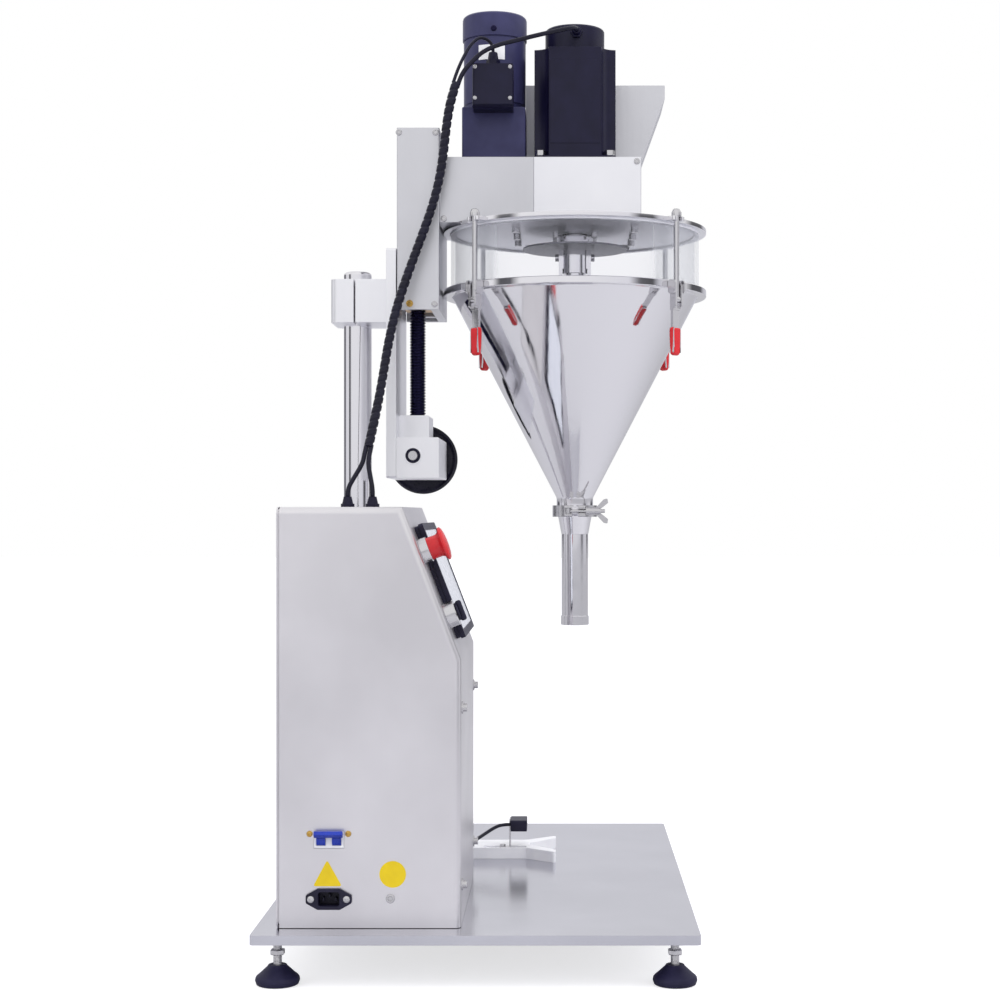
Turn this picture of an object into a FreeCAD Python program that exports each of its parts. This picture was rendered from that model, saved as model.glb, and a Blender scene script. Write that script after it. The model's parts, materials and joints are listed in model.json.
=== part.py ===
import FreeCAD, Part
import math
import os

# Auger powder filler for a bench: a cabinet and a column on a folded base plate, a
# crank lift on the column, and a filling head with hopper, auger and agitator.
# Millimetres, +Z up, operator at -Y, origin under the middle of the machine.

V = FreeCAD.Vector
UP = V(0, 0, 1)
DOWN = V(0, 0, -1)
LEFT = V(-1, 0, 0)
RIGHT = V(1, 0, 0)
FRONT = V(0, -1, 0)
BACK = V(0, 1, 0)

# ---------------------------------------------------------------- driving sizes
SHEET = 2.0
SHAFT_PLAY = 0.05
SLIDE_GAP = 0.3
SEAT_GAP = 0.3

BASE_LENGTH = 750.0
BASE_DEPTH = 500.0
BASE_TOP = 60.0
BASE_RIM = 11.0
BASE_CORNER = 4.0

FOOT_INSET = 27.5
FOOT_PAD_R = 25.0
FOOT_NECK_R = 10.5
FOOT_PAD_H = 22.0
FOOT_STUD_R = 5.0
FOOT_BOSS_R = 13.0
FOOT_NUT_FLATS = 15.0
FOOT_NUT_H = 6.0
FOOT_NUT_BELOW = 10.0
FOOT_PLAY = 0.5

LID_R = 180.0
AUGER_REACH = 114.0
MACHINE_X = 129.0
GEAR_MOTOR_REACH = 4.0
COLUMN_BACK = 184.4

CABINET_LEFT = -340.0
CABINET_WIDTH = 310.0
CABINET_FRONT = 17.5
CABINET_DEPTH = 207.9
CABINET_HEIGHT = 474.0
CABINET_EDGE_R = 8.0
CABINET_SHADOW = 0.5
SLOPE_RUN = 66.3
SLOPE_DROP = 172.0
COVER_GAP = 1.5
COVER_LIP = 6.0

PANEL_LEFT = 55.0
PANEL_WIDTH = 210.0
PANEL_HEIGHT = 141.0
PANEL_DOWN = 23.6
PANEL_PROUD = 10.6
PANEL_BACK_T = 5.0
PANEL_REAR = 38.0
PANEL_BORDER = 9.0
SCREEN_T = 2.0
SCREEN_RECESS = 0.8

BUTTON_IN = 28.0
BUTTON_BORE_R = 11.2
ESTOP_DOWN = 55.0
ESTOP_COLLAR_R = 15.0
ESTOP_COLLAR_H = 8.0
ESTOP_HEAD_R = 19.5
ESTOP_PROUD = 32.0
ESTOP_STEM_R = 6.0
ESTOP_TRAVEL = 5.0
SELECTOR_DOWN = 133.0
SELECTOR_COLLAR_H = 5.0
SELECTOR_KNOB_R = 10.5
SELECTOR_PROUD = 19.0
SELECTOR_STEM_R = 4.0

SUPPLY_BACK = 59.4
BREAKER_UP = 100.0
BREAKER_W = 33.6
BREAKER_H = 34.0
BREAKER_PROUD = 4.0
BREAKER_DEEP = 46.0
TOGGLE_R = 9.0
TOGGLE_LEVER = 10.0
TOGGLE_T = 4.0
TOGGLE_ANGLE = 40.0
INLET_UP = 33.4
INLET_W = 51.7
INLET_H = 23.7
INLET_T = 3.0
INLET_RECESS_W = 24.0
INLET_RECESS_H = 16.0
INLET_DEPTH = 17.0
INLET_BODY_W = 28.0
INLET_BODY_H = 20.0
INLET_PIN_FREE = 9.0

COLUMN_R = 19.0
COLUMN_WALL = 3.0
COLUMN_TOP = 858.0
COLUMN_FOOT_R = 55.0
COLUMN_FOOT_T = 12.0
COLUMN_SOCKET_R = 30.0
COLUMN_SOCKET_H = 40.0
COLUMN_BOLT_CIRCLE_R = 43.0

CLAMP_W = 84.0
CLAMP_BOTTOM = 785.0
CLAMP_H = 59.0
CLAMP_REACH = 46.7
CLAMP_BEHIND = 32.3
CLAMP_SPLIT = 2.0
CLAMP_CORNER_R = 10.0
CLAMP_BOLT_X = 31.0

MACHINE_W = 168.0
LIFT_PLATE_T = 13.3
LIFT_PLATE_BOTTOM = 574.0
LIFT_PLATE_H = 306.0
GEARBOX_H = 54.0
GEARBOX_REACH = 57.0
GEARBOX_WALL = 12.0
SHAFT_UP = 29.6
SCREW_FORWARD = 22.6
BEARING_W = 78.0
BEARING_H = 31.6
BEARING_REACH = 40.9
CROSS_SHAFT_R = 6.0
BEARING_RING_R = 12.0
BEARING_RING_T = 2.0
GEAR_R = 16.0
GEAR_FACE = 6.0
GEAR_TEETH = 16
GEAR_HUB = 3.0
TOOTH_DEPTH = 1.8
TOOTH_GAP = 0.15

SCREW_R = 10.8
SCREW_TOP = 872.0
SCREW_NECK_R = 7.0

WHEEL_R = 49.0
WHEEL_T = 16.0
WHEEL_GAP = 9.0
WHEEL_HUB_R = 15.0
WHEEL_HUB_T = 8.0
GRIP_CIRCLE_R = 36.0
GRIP_R = 10.0
GRIP_LENGTH = 52.0
GRIP_PIN_R = 4.0

CARRIAGE_GAP = 1.0
CARRIAGE_FRONT = 66.8
CARRIAGE_BOTTOM = 798.0
CARRIAGE_TOP = 1040.0
CARRIAGE_WALL = 8.0
CARRIAGE_FACE = 12.0
CARRIAGE_TOP_T = 10.0
RAIL_X = 57.0
RAIL_W = 15.0
RAIL_H = 14.0
RAIL_BOTTOM = 802.0
RAIL_TOP = 1026.0
BLOCK_W = 34.0
BLOCK_H = 24.0
BLOCK_BOTTOM = 815.0
BLOCK_LENGTH = 56.0
NUT_W = 40.0
NUT_BOTTOM = 805.0
NUT_H = 35.0
NUT_BACK = 12.0

HEAD_FRONT = 201.8
HEAD_BOTTOM = 914.0
HEAD_H = 87.0
HEAD_WALL = 6.0
HEAD_SEAM = 58.8
HEAD_SEAM_W = 0.6
HEAD_FLOOR = 10.0

GEARBOX_SQUARE = 86.0
GEARBOX_SQUARE_H = 67.0
GEAR_RING_H = 8.0
GEAR_RING_R = 41.0
GEAR_MOTOR_R = 42.5
GEAR_MOTOR_TOP = 1160.0
GEAR_CAP_R = 44.0
GEAR_CAP_TOP = 1218.6
GEAR_SHAFT_R = 7.0
TERMINAL_W = 54.0
TERMINAL_BOTTOM = 1062.0
TERMINAL_H = 64.0
TERMINAL_REACH = 82.0
TERMINAL_BEVEL = 10.0
TERMINAL_GLAND_R = 8.7
TERMINAL_GLAND_H = 18.0

AUGER_FLANGE = 110.0
AUGER_FLANGE_T = 8.0
AUGER_BODY_TOP = 1155.0
AUGER_NOTCH = 19.5
AUGER_CAP_R = 40.5
AUGER_CAP_TOP = 1190.0
AUGER_BOLT_PITCH = 93.6

LID_T = 5.5
LID_TOP = 914.0
LID_BORE_R = 22.0
LID_EAR_OUT = 12.0
LID_EAR_W = 22.0
LID_EAR_SLOT = 8.4
SLOT_LEFT = 86.5
SLOT_WIDTH = 60.0
SLOT_FRONT = 193.0
SLOT_BACK = 45.0

RING_R = 170.0
RING_WALL = 6.0
RING_BOTTOM = 831.4
RING_TOP = 906.0
CONE_FLANGE_T = 9.5
CONE_R = 167.0
CONE_OUTLET_R = 25.0
CONE_WALL = 2.0
CONE_OUTLET_TOP = 548.0
FERRULE_FLANGE_R = 28.0
FERRULE_FLANGE_T = 3.0
OUTLET_Z = 530.0
BAND_R = 30.7
BAND_H = 15.6
BAND_OPEN = 9.0
BAND_LUG = 10.0
NOZZLE_TAPER_R = 23.0
NOZZLE_TAPER_BOTTOM = 498.5
NOZZLE_R = 18.2
NOZZLE_BORE_R = 17.0
NOZZLE_BOTTOM = 374.0
NOZZLE_COLLAR_R = 19.25
NOZZLE_COLLAR_H = 12.4

SLEEVE_R = 17.0
SLEEVE_BORE_R = 12.5
SLEEVE_BOTTOM = 856.0
AGITATOR_PULLEY_R = 36.0
AGITATOR_PULLEY_Z = 945.0
MOTOR_PULLEY_R = 24.0
PULLEY_H = 22.0
BELT_T = 3.0
BELT_W = 18.0
ARM_W = 16.0
ARM_T = 5.0
ARM_CLEAR = 9.0
ARM_BOTTOM = 590.0
ARM_SHOULDER_R = 60.0

AUGER_SHAFT_R = 6.0
AUGER_STEM_R = 12.3
FLIGHT_R = 16.6
FLIGHT_T = 2.0
FLIGHT_PITCH = 30.0
FLIGHT_TOP = 615.0
AUGER_BOTTOM = 377.0

CHUTE_WALL = 2.0
CHUTE_BEND = 977.0
CHUTE_LIP = 1116.0
CHUTE_TOP = 1135.0
CHUTE_FLARE_FRONT = 49.4
CHUTE_FLARE_RIGHT = 45.0
CHUTE_FLANGE = 12.0

CLASP_R = 186.0
CLASP_ROD_R = 3.5
CLASP_ROD_TOP = 924.0
CLASP_NUT_R = 6.5
CLASP_NUT_H = 9.0
CLASP_PIVOT_Z = 822.0
CLASP_CRANK = 16.0
CLASP_PIN_R = 3.0
CLASP_LINK_R = 2.0
CLASP_EAR_GAP = 15.0
CLASP_EAR_T = 3.0
CLASP_LEVER_T = 3.0
CLASP_HANDLE_W = 12.0
CLASP_LEVER_END = 734.0
CLASP_GRIP_TOP = 770.0
CLASP_COUNT = 4

FORK_T = 15.0
FORK_W = 63.0
FORK_BACK = 90.0
FORK_THROAT = 52.0
FORK_TIP = 88.0
FORK_SPREAD = 127.0
FORK_X = 117.0
TRACK_W = 12.0
TRACK_DEPTH = 6.0
TRACK_BACK = 10.0
TRACK_FRONT = 48.0
TRACK_LEFT = 22.0
SENSOR_Z = 98.0
SENSOR_H = 15.0
SENSOR_LENGTH = 40.0
SENSOR_W = 22.0
BRACKET_T = 2.0
BRACKET_FOOT = 16.0

GLAND_R = 8.0
GLAND_H = 14.0
BUNDLE_R = 6.2
LEAD_R = 3.0
THIN_LEAD_R = 2.2
SENSOR_LEAD_R = 2.3

# ---------------------------------------------------------------- derived places
BASE_Y = (LID_R + AUGER_REACH - BASE_DEPTH / 2) / 2
AUGER_Y = BASE_Y - AUGER_REACH
GEAR_MOTOR_Y = BASE_Y - GEAR_MOTOR_REACH
COLUMN_Y = BASE_Y + COLUMN_BACK
CABINET_Y = BASE_Y + CABINET_FRONT
CABINET_BACK = CABINET_Y + CABINET_DEPTH
CABINET_RIGHT = CABINET_LEFT + CABINET_WIDTH
CABINET_TOP = BASE_TOP + CABINET_HEIGHT
PLATE_BACK = COLUMN_Y - CLAMP_REACH
PLATE_FRONT = PLATE_BACK - LIFT_PLATE_T
SCREW_Y = PLATE_FRONT - SCREW_FORWARD
SHAFT_Z = LIFT_PLATE_BOTTOM + SHAFT_UP
CARRIAGE_BACK = PLATE_FRONT - CARRIAGE_GAP
CARRIAGE_Y = BASE_Y + CARRIAGE_FRONT
HEAD_TOP = HEAD_BOTTOM + HEAD_H
HEAD_Y = BASE_Y - HEAD_FRONT
SLOPE = math.hypot(SLOPE_RUN, SLOPE_DROP)
SLOPE_ANGLE = math.degrees(math.atan2(SLOPE_DROP, SLOPE_RUN))
PANEL_X = CABINET_LEFT + PANEL_LEFT
BUTTON_X = CABINET_LEFT + BUTTON_IN
SUPPLY_Y = CABINET_BACK - SUPPLY_BACK


# ---------------------------------------------------------------- small helpers
def box(x, y, z):
    """A box from three (low, high) pairs."""
    return Part.makeBox(x[1] - x[0], y[1] - y[0], z[1] - z[0], V(x[0], y[0], z[0]))


def around(x, half):
    return (x - half, x + half)


def rod(radius, start, direction, length):
    return Part.makeCylinder(radius, length, start, direction)


def upright(radius, x, y, low, high):
    return Part.makeCylinder(radius, high - low, V(x, y, low), UP)


def prism(points, along):
    """A closed flat outline pushed along a vector."""
    return Part.Face(Part.makePolygon(points + [points[0]])).extrude(along)


def turned(outline, x, y):
    """An outline of (radius, height) points turned about the upright axis at x, y."""
    points = [V(x + r, y, z) for r, z in outline]
    face = Part.Face(Part.makePolygon(points + [points[0]]))
    return face.revolve(V(x, y, 0), UP, 360)


def joined(shapes):
    whole = shapes[0]
    if len(shapes) > 1:
        whole = shapes[0].multiFuse(shapes[1:])
    return whole.removeSplitter()


def edges_along(shape, direction):
    """Straight edges that run along a direction."""
    found = []
    for edge in shape.Edges:
        if isinstance(edge.Curve, Part.Line):
            if abs(edge.tangentAt(edge.FirstParameter).dot(direction)) > 0.999:
                found.append(edge)
    return found


def rounded(shape, radius, direction):
    return shape.makeFillet(radius, edges_along(shape, direction))


def hexagon(flats, centre, direction, length):
    """A hexagonal prism, its flats' distance given, standing on its centre."""
    ring = [60 * n + 30 for n in range(6)]
    across = flats / math.sqrt(3)
    points = [
        V(across * math.cos(math.radians(a)), across * math.sin(math.radians(a)), 0)
        for a in ring
    ]
    shape = prism(points, V(0, 0, length))
    shape.Placement = FreeCAD.Placement(centre, FreeCAD.Rotation(UP, direction))
    return shape


def on_slope(shape):
    """Moves a shape from the panel's own frame (Y up the slope, Z out of it) to its place."""
    top = V(0, CABINET_Y + SLOPE_RUN, CABINET_TOP)
    turn = FreeCAD.Rotation(RIGHT, SLOPE_ANGLE)
    shape.Placement = FreeCAD.Placement(top, turn).multiply(shape.Placement)
    return shape


def at_clasp(shape, number):
    """Turns a shape drawn at the hopper's right side round to one of the four clasps."""
    angle = 45 + 360 / CLASP_COUNT * number
    moved = shape.copy()
    moved.rotate(V(MACHINE_X, AUGER_Y, 0), UP, angle)
    return moved


def save(name, shapes):
    solids = []
    for shape in shapes:
        solids.extend(shape.Solids)
    whole = solids[0] if len(solids) == 1 else Part.makeCompound(solids)
    whole.exportStep("parts/" + name + ".step")


# ---------------------------------------------------------------- base and feet
def foot_places():
    x = BASE_LENGTH / 2 - FOOT_INSET
    y = BASE_DEPTH / 2 - FOOT_INSET
    return {
        "foot_front_left": (-x, BASE_Y - y),
        "foot_front_right": (x, BASE_Y - y),
        "foot_rear_left": (-x, BASE_Y + y),
        "foot_rear_right": (x, BASE_Y + y),
    }


def base_plate():
    low = BASE_TOP - BASE_RIM
    x = (-BASE_LENGTH / 2, BASE_LENGTH / 2)
    y = (BASE_Y - BASE_DEPTH / 2, BASE_Y + BASE_DEPTH / 2)
    tray = rounded(box(x, y, (low, BASE_TOP)), BASE_CORNER, UP)
    inner_x = (x[0] + SHEET, x[1] - SHEET)
    inner_y = (y[0] + SHEET, y[1] - SHEET)
    hollow = box(inner_x, inner_y, (low, BASE_TOP - SHEET))
    tray = tray.cut(rounded(hollow, BASE_CORNER - SHEET, UP))
    bosses = [upright(FOOT_BOSS_R, a, b, low, BASE_TOP) for a, b in foot_places().values()]
    tray = joined([tray] + bosses)
    holes = [upright(FOOT_STUD_R, a, b, low, BASE_TOP - SHEET) for a, b in foot_places().values()]
    return tray.cut(Part.makeCompound(holes))


def levelling_foot(x, y):
    """A rubber pad on a threaded stud with its lock nut, free to screw up into the base."""
    rim = 5.0
    outline = [
        (0, 0),
        (FOOT_PAD_R - 1.5, 0),
        (FOOT_PAD_R, rim),
        (FOOT_PAD_R - 2, rim + 5),
        (FOOT_NECK_R + 2, FOOT_PAD_H - 3),
        (FOOT_NECK_R, FOOT_PAD_H),
        (0, FOOT_PAD_H),
    ]
    stud_r = FOOT_STUD_R - SHAFT_PLAY
    stud_top = BASE_TOP - SHEET - FOOT_PLAY
    nut_top = BASE_TOP - BASE_RIM - FOOT_NUT_BELOW
    pad = turned(outline, x, y)
    stud = upright(stud_r, x, y, FOOT_PAD_H - 1, stud_top)
    nut = hexagon(FOOT_NUT_FLATS, V(x, y, nut_top - FOOT_NUT_H), UP, FOOT_NUT_H)
    return joined([pad, stud, nut])


# ---------------------------------------------------------------- cabinet
def cabinet_form(inset, back):
    """The cabinet's outside form, or with an inset the hollow inside its sheet."""
    y0 = CABINET_Y + inset
    z0 = BASE_TOP + CABINET_SHADOW + inset
    z1 = CABINET_TOP - inset
    shift = inset * (SLOPE - SLOPE_RUN) / SLOPE_DROP
    knee = CABINET_TOP - SLOPE_DROP - inset * math.tan(math.radians(90 - SLOPE_ANGLE) / 2)
    slope_top_y = CABINET_Y + SLOPE_RUN + shift
    x0 = CABINET_LEFT + inset
    points = [
        V(x0, y0, z0),
        V(x0, y0, knee),
        V(x0, slope_top_y, z1),
        V(x0, back, z1),
        V(x0, back, z0),
    ]
    form = prism(points, V(CABINET_WIDTH - 2 * inset, 0, 0))
    radius = CABINET_EDGE_R - inset
    middle_x = CABINET_LEFT + CABINET_WIDTH / 2
    soft = []
    for edge in form.Edges:
        middle = edge.CenterOfMass
        at_side = abs(middle.x - middle_x) > CABINET_WIDTH / 2 - inset - 0.1
        if at_side and middle.z > z0 + 0.1 and middle.y < back - 0.1:
            soft.append(edge)
    return form.makeFillet(radius, soft)


def cabinet_shell():
    seam = CABINET_BACK - SHEET - COVER_GAP
    shell = cabinet_form(0, seam).cut(cabinet_form(SHEET, seam + SHEET))
    panel_hole = on_slope(panel_rear(SLIDE_GAP))
    cuts = [panel_hole]
    for down in (ESTOP_DOWN, SELECTOR_DOWN):
        cuts.append(on_slope(rod(BUTTON_BORE_R, V(BUTTON_X, -down, -20), UP, 40)))
    x = (CABINET_LEFT - 1, CABINET_LEFT + 20)
    wide = around(SUPPLY_Y, BREAKER_W / 2 + SLIDE_GAP)
    tall = around(BASE_TOP + BREAKER_UP, BREAKER_H / 2 + SLIDE_GAP)
    cuts.append(box(x, wide, tall))
    wide = around(SUPPLY_Y, INLET_BODY_W / 2 + SLIDE_GAP)
    tall = around(BASE_TOP + INLET_UP, INLET_BODY_H / 2 + SLIDE_GAP)
    cuts.append(box(x, wide, tall))
    for place, direction in gland_places():
        cuts.append(rod(GLAND_R - 2.5, place - direction * 5, direction, 10))
    return shell.cut(Part.makeCompound(cuts))


def cabinet_rear_cover():
    y = (CABINET_BACK - SHEET, CABINET_BACK)
    z = (BASE_TOP + CABINET_SHADOW, CABINET_TOP)
    plate = box((CABINET_LEFT, CABINET_RIGHT), y, z)
    plate = rounded(plate, CABINET_EDGE_R, BACK)
    lip_y = (y[0] - COVER_LIP, y[0] + 0.5)
    inset = SHEET + SLIDE_GAP
    lip_x = (CABINET_LEFT + inset, CABINET_RIGHT - inset)
    lip_z = (z[0] + inset, z[1] - inset)
    lip = rounded(box(lip_x, lip_y, lip_z), CABINET_EDGE_R - inset, BACK)
    hollow_x = (lip_x[0] + SHEET, lip_x[1] - SHEET)
    hollow_z = (lip_z[0] + SHEET, lip_z[1] - SHEET)
    hollow = box(hollow_x, (lip_y[0] - 1, y[0]), hollow_z)
    return joined([plate, lip]).cut(hollow)


def gland_places():
    """Cable glands as (seat on the cabinet, direction out): two on top, one at the right."""
    top = [V(-80, BASE_Y + 174.5, CABINET_TOP), V(-80, BASE_Y + 143.0, CABINET_TOP)]
    side = V(CABINET_RIGHT, BASE_Y + 62.0, BASE_TOP + 18)
    return [(top[0], UP), (top[1], UP), (side, RIGHT)]


def cable_gland(seat, direction):
    nut = hexagon(2 * GLAND_R - 1, seat, direction, 5)
    dome = Part.makeCone(GLAND_R - 1, GLAND_R - 3, GLAND_H - 5, seat + direction * 5, direction)
    thread = rod(GLAND_R - 2.8, seat - direction * 8, direction, 9)
    back_nut = hexagon(2 * GLAND_R, seat - direction * (SHEET + 4), direction, 4)
    return joined([nut, dome, thread, back_nut])


def control_modules():
    """Mounting plate on stand-offs with drive, supply, controller and terminals on it."""
    plate_y = CABINET_Y + 120
    plate_x = (CABINET_LEFT + 40, CABINET_RIGHT - 30)
    plate = box(plate_x, (plate_y, plate_y + SHEET), (BASE_TOP + 60, BASE_TOP + 330))
    feet = []
    for x in (plate_x[0] + 12, plate_x[1] - 12):
        base_z = (BASE_TOP + CABINET_SHADOW + SHEET, BASE_TOP + 8)
        base = box((x - 12, x + 12), (plate_y, plate_y + 40), base_z)
        web = box((x - 12, x + 12), (plate_y, plate_y + SHEET), (BASE_TOP + 6, BASE_TOP + 61))
        feet.extend([base, web])
    carrier = joined([plate] + feet)
    front = plate_y
    modules = []
    sizes = [(62, 85, 110, 120), (50, 60, 100, 120), (70, 60, 90, 120)]
    left = plate_x[0] + 10
    for width, deep, tall, up in sizes:
        z = BASE_TOP + 70 + up
        module = box((left, left + width), (front - deep, front), (z, z + tall))
        modules.append(rounded(module, 2, BACK))
        left += width + 8
    z = BASE_TOP + 70
    modules.append(box((plate_x[0] + 10, plate_x[0] + 130), (front - 40, front), (z, z + 24)))
    return [carrier] + modules


def panel_rear(clearance):
    """The part of the touch panel that sits through the cabinet's cut-out."""
    x = (PANEL_X + 8 - clearance, PANEL_X + PANEL_WIDTH - 8 + clearance)
    y = (-PANEL_DOWN - PANEL_HEIGHT + 8 - clearance, -PANEL_DOWN - 8 + clearance)
    return box(x, y, (-PANEL_REAR, 1))


def touch_panel_case():
    x = (PANEL_X, PANEL_X + PANEL_WIDTH)
    y = (-PANEL_DOWN - PANEL_HEIGHT, -PANEL_DOWN)
    back = rounded(box((x[0] + 1.5, x[1] - 1.5), (y[0] + 1.5, y[1] - 1.5), (0, PANEL_BACK_T)), 3, UP)
    bezel = rounded(box(x, y, (PANEL_BACK_T, PANEL_PROUD)), 4, UP)
    inner = panel_screen_box(0)
    case = joined([back, bezel, panel_rear(0)]).cut(inner)
    return on_slope(case)


def panel_screen_box(clearance):
    x = (PANEL_X + PANEL_BORDER + clearance, PANEL_X + PANEL_WIDTH - PANEL_BORDER - clearance)
    low = -PANEL_DOWN - PANEL_HEIGHT + PANEL_BORDER + clearance
    high = -PANEL_DOWN - PANEL_BORDER - clearance
    top = PANEL_PROUD - SCREEN_RECESS * (clearance > 0) + (clearance == 0)
    return box(x, (low, high), (PANEL_PROUD - SCREEN_RECESS - SCREEN_T, top))


def touch_panel_screen():
    return on_slope(panel_screen_box(0.1))


def button_collars():
    """Chrome collars of the two push-through devices, with their contact blocks."""
    pieces = []
    for down, height, bore in (
        (ESTOP_DOWN, ESTOP_COLLAR_H, ESTOP_STEM_R),
        (SELECTOR_DOWN, SELECTOR_COLLAR_H, SELECTOR_STEM_R),
    ):
        at = V(BUTTON_X, -down, 0)
        ring = Part.makeCone(ESTOP_COLLAR_R, ESTOP_COLLAR_R - 2, height, at, UP)
        shank = rod(BUTTON_BORE_R - 0.2, at - UP * 18, UP, 18.5)
        block = box(around(at.x, 15), around(at.y, 15), (-50, -18))
        hole = rod(bore + SHAFT_PLAY, at - UP * 17, UP, 40)
        pieces.append(on_slope(joined([ring, shank, block]).cut(hole)))
    return pieces


def estop_button():
    at = V(BUTTON_X, -ESTOP_DOWN, 0)
    under = ESTOP_COLLAR_H + ESTOP_TRAVEL + 1
    outline = [
        (0, -10),
        (ESTOP_STEM_R, -10),
        (ESTOP_STEM_R, under),
        (ESTOP_HEAD_R - 5, under),
        (ESTOP_HEAD_R, under + 3),
        (ESTOP_HEAD_R, under + 9),
        (ESTOP_HEAD_R - 2.5, ESTOP_PROUD - 4),
        (ESTOP_HEAD_R - 8, ESTOP_PROUD - 1.2),
        (0, ESTOP_PROUD),
    ]
    return on_slope(turned(outline, at.x, at.y))


def selector_knob():
    at = V(BUTTON_X, -SELECTOR_DOWN, 0)
    low = SELECTOR_COLLAR_H + SLIDE_GAP
    stem = rod(SELECTOR_STEM_R, at - UP * 10, UP, low + 12)
    disc = rod(SELECTOR_KNOB_R, at + UP * low, UP, 6)
    grip = box(around(at.x, 3.5), around(at.y, SELECTOR_KNOB_R + 1.5), (low + 2, SELECTOR_PROUD))
    grip = rounded(grip, 3.2, UP)
    return on_slope(joined([stem, disc, grip]))


def breaker_body():
    z = BASE_TOP + BREAKER_UP
    x = (CABINET_LEFT - BREAKER_PROUD, CABINET_LEFT + BREAKER_DEEP)
    body = box(x, around(SUPPLY_Y, BREAKER_W / 2), around(z, BREAKER_H / 2))
    axle_x = CABINET_LEFT + TOGGLE_R - BREAKER_PROUD - 2
    pocket = rod(TOGGLE_R + SHAFT_PLAY, V(axle_x, SUPPLY_Y - BREAKER_W / 2 + 3, z), BACK, BREAKER_W - 6)
    sweep = box((x[0] - 1, axle_x), around(SUPPLY_Y, BREAKER_W / 2 - 3), around(z, TOGGLE_R + 0.04))
    return body.cut(joined([pocket, sweep]))


def breaker_toggle():
    """The drum of the two ganged switches with the bar that links their levers."""
    z = BASE_TOP + BREAKER_UP
    axle = V(CABINET_LEFT + TOGGLE_R - BREAKER_PROUD - 2, SUPPLY_Y, z)
    half = BREAKER_W / 2 - 3 - SHAFT_PLAY
    drum = rod(TOGGLE_R, axle - BACK * half, BACK, 2 * half)
    lever = box(
        (axle.x - TOGGLE_R - TOGGLE_LEVER, axle.x),
        around(SUPPLY_Y, half - 1),
        around(z, TOGGLE_T / 2),
    )
    lever = rounded(lever, 1.5, BACK)
    for offset in (-7, 7):
        lever = lever.cut(rod(1.6, V(lever.BoundBox.XMin + 5, SUPPLY_Y + offset, z - 5), UP, 10))
    lever.rotate(axle, BACK, TOGGLE_ANGLE)
    return joined([drum, lever])


def power_inlet():
    z = BASE_TOP + INLET_UP
    flange_x = (CABINET_LEFT - INLET_T, CABINET_LEFT)
    flange = box(flange_x, around(SUPPLY_Y, INLET_W / 2), around(z, INLET_H / 2))
    flange = rounded(flange, 4, RIGHT)
    body_x = (CABINET_LEFT - 0.5, CABINET_LEFT + INLET_DEPTH + 4)
    body = box(body_x, around(SUPPLY_Y, INLET_BODY_W / 2), around(z, INLET_BODY_H / 2))
    recess_x = (flange_x[0] - 1, CABINET_LEFT - INLET_T + INLET_DEPTH)
    recess = box(recess_x, around(SUPPLY_Y, INLET_RECESS_W / 2), around(z, INLET_RECESS_H / 2))
    recess = rounded(recess, 3, RIGHT)
    shell = joined([flange, body]).cut(recess)
    pins = []
    for offset, rise in ((-7, -2), (0, 2), (7, -2)):
        pin_x = (flange_x[0] + INLET_PIN_FREE, recess_x[1] + 1)
        pins.append(box(pin_x, around(SUPPLY_Y + offset, 1), around(z + rise, 2)))
    return joined([shell] + pins)


# ---------------------------------------------------------------- column and lift
def column():
    """The tube with its cap, welded into a bolted foot flange."""
    tube = upright(COLUMN_R, MACHINE_X, COLUMN_Y, BASE_TOP, COLUMN_TOP)
    top_edges = [e for e in tube.Edges if e.BoundBox.ZMin > COLUMN_TOP - 1]
    tube = tube.makeFillet(5, top_edges)
    flange = upright(COLUMN_FOOT_R, MACHINE_X, COLUMN_Y, BASE_TOP, BASE_TOP + COLUMN_FOOT_T)
    socket_top = BASE_TOP + COLUMN_SOCKET_H
    socket = Part.makeCone(
        COLUMN_SOCKET_R, COLUMN_SOCKET_R - 4, COLUMN_SOCKET_H, V(MACHINE_X, COLUMN_Y, BASE_TOP), UP
    )
    hollow = upright(COLUMN_R - COLUMN_WALL, MACHINE_X, COLUMN_Y, BASE_TOP, COLUMN_TOP - 10)
    whole = joined([tube, flange, socket]).cut(hollow)
    for x, y in column_bolts():
        whole = whole.cut(upright(5.5, x, y, BASE_TOP, socket_top))
    return whole


def column_bolts():
    places = []
    for n in range(4):
        angle = math.radians(45 + 90 * n)
        x = MACHINE_X + COLUMN_BOLT_CIRCLE_R * math.cos(angle)
        places.append((x, COLUMN_Y + COLUMN_BOLT_CIRCLE_R * math.sin(angle)))
    return places


def column_clamp():
    """Front block and rear cap that grip the column, split by a narrow gap."""
    z = (CLAMP_BOTTOM, CLAMP_BOTTOM + CLAMP_H)
    x = around(MACHINE_X, CLAMP_W / 2)
    bore = upright(COLUMN_R, MACHINE_X, COLUMN_Y, z[0] - 1, z[1] + 1)
    front = box(x, (PLATE_BACK, COLUMN_Y - CLAMP_SPLIT / 2), z)
    cap = box(x, (COLUMN_Y + CLAMP_SPLIT / 2, COLUMN_Y + CLAMP_BEHIND), z)
    rear = [e for e in edges_along(cap, UP) if e.CenterOfMass.y > COLUMN_Y + CLAMP_BEHIND - 1]
    cap = cap.makeFillet(CLAMP_CORNER_R, rear)
    return [front.cut(bore), cap.cut(bore)]


def clamp_bolt_places():
    quarter = CLAMP_H / 4
    middle = CLAMP_BOTTOM + CLAMP_H / 2
    return [
        (MACHINE_X + side * CLAMP_BOLT_X, middle + rise)
        for side in (-1, 1)
        for rise in (-quarter, quarter)
    ]


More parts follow.
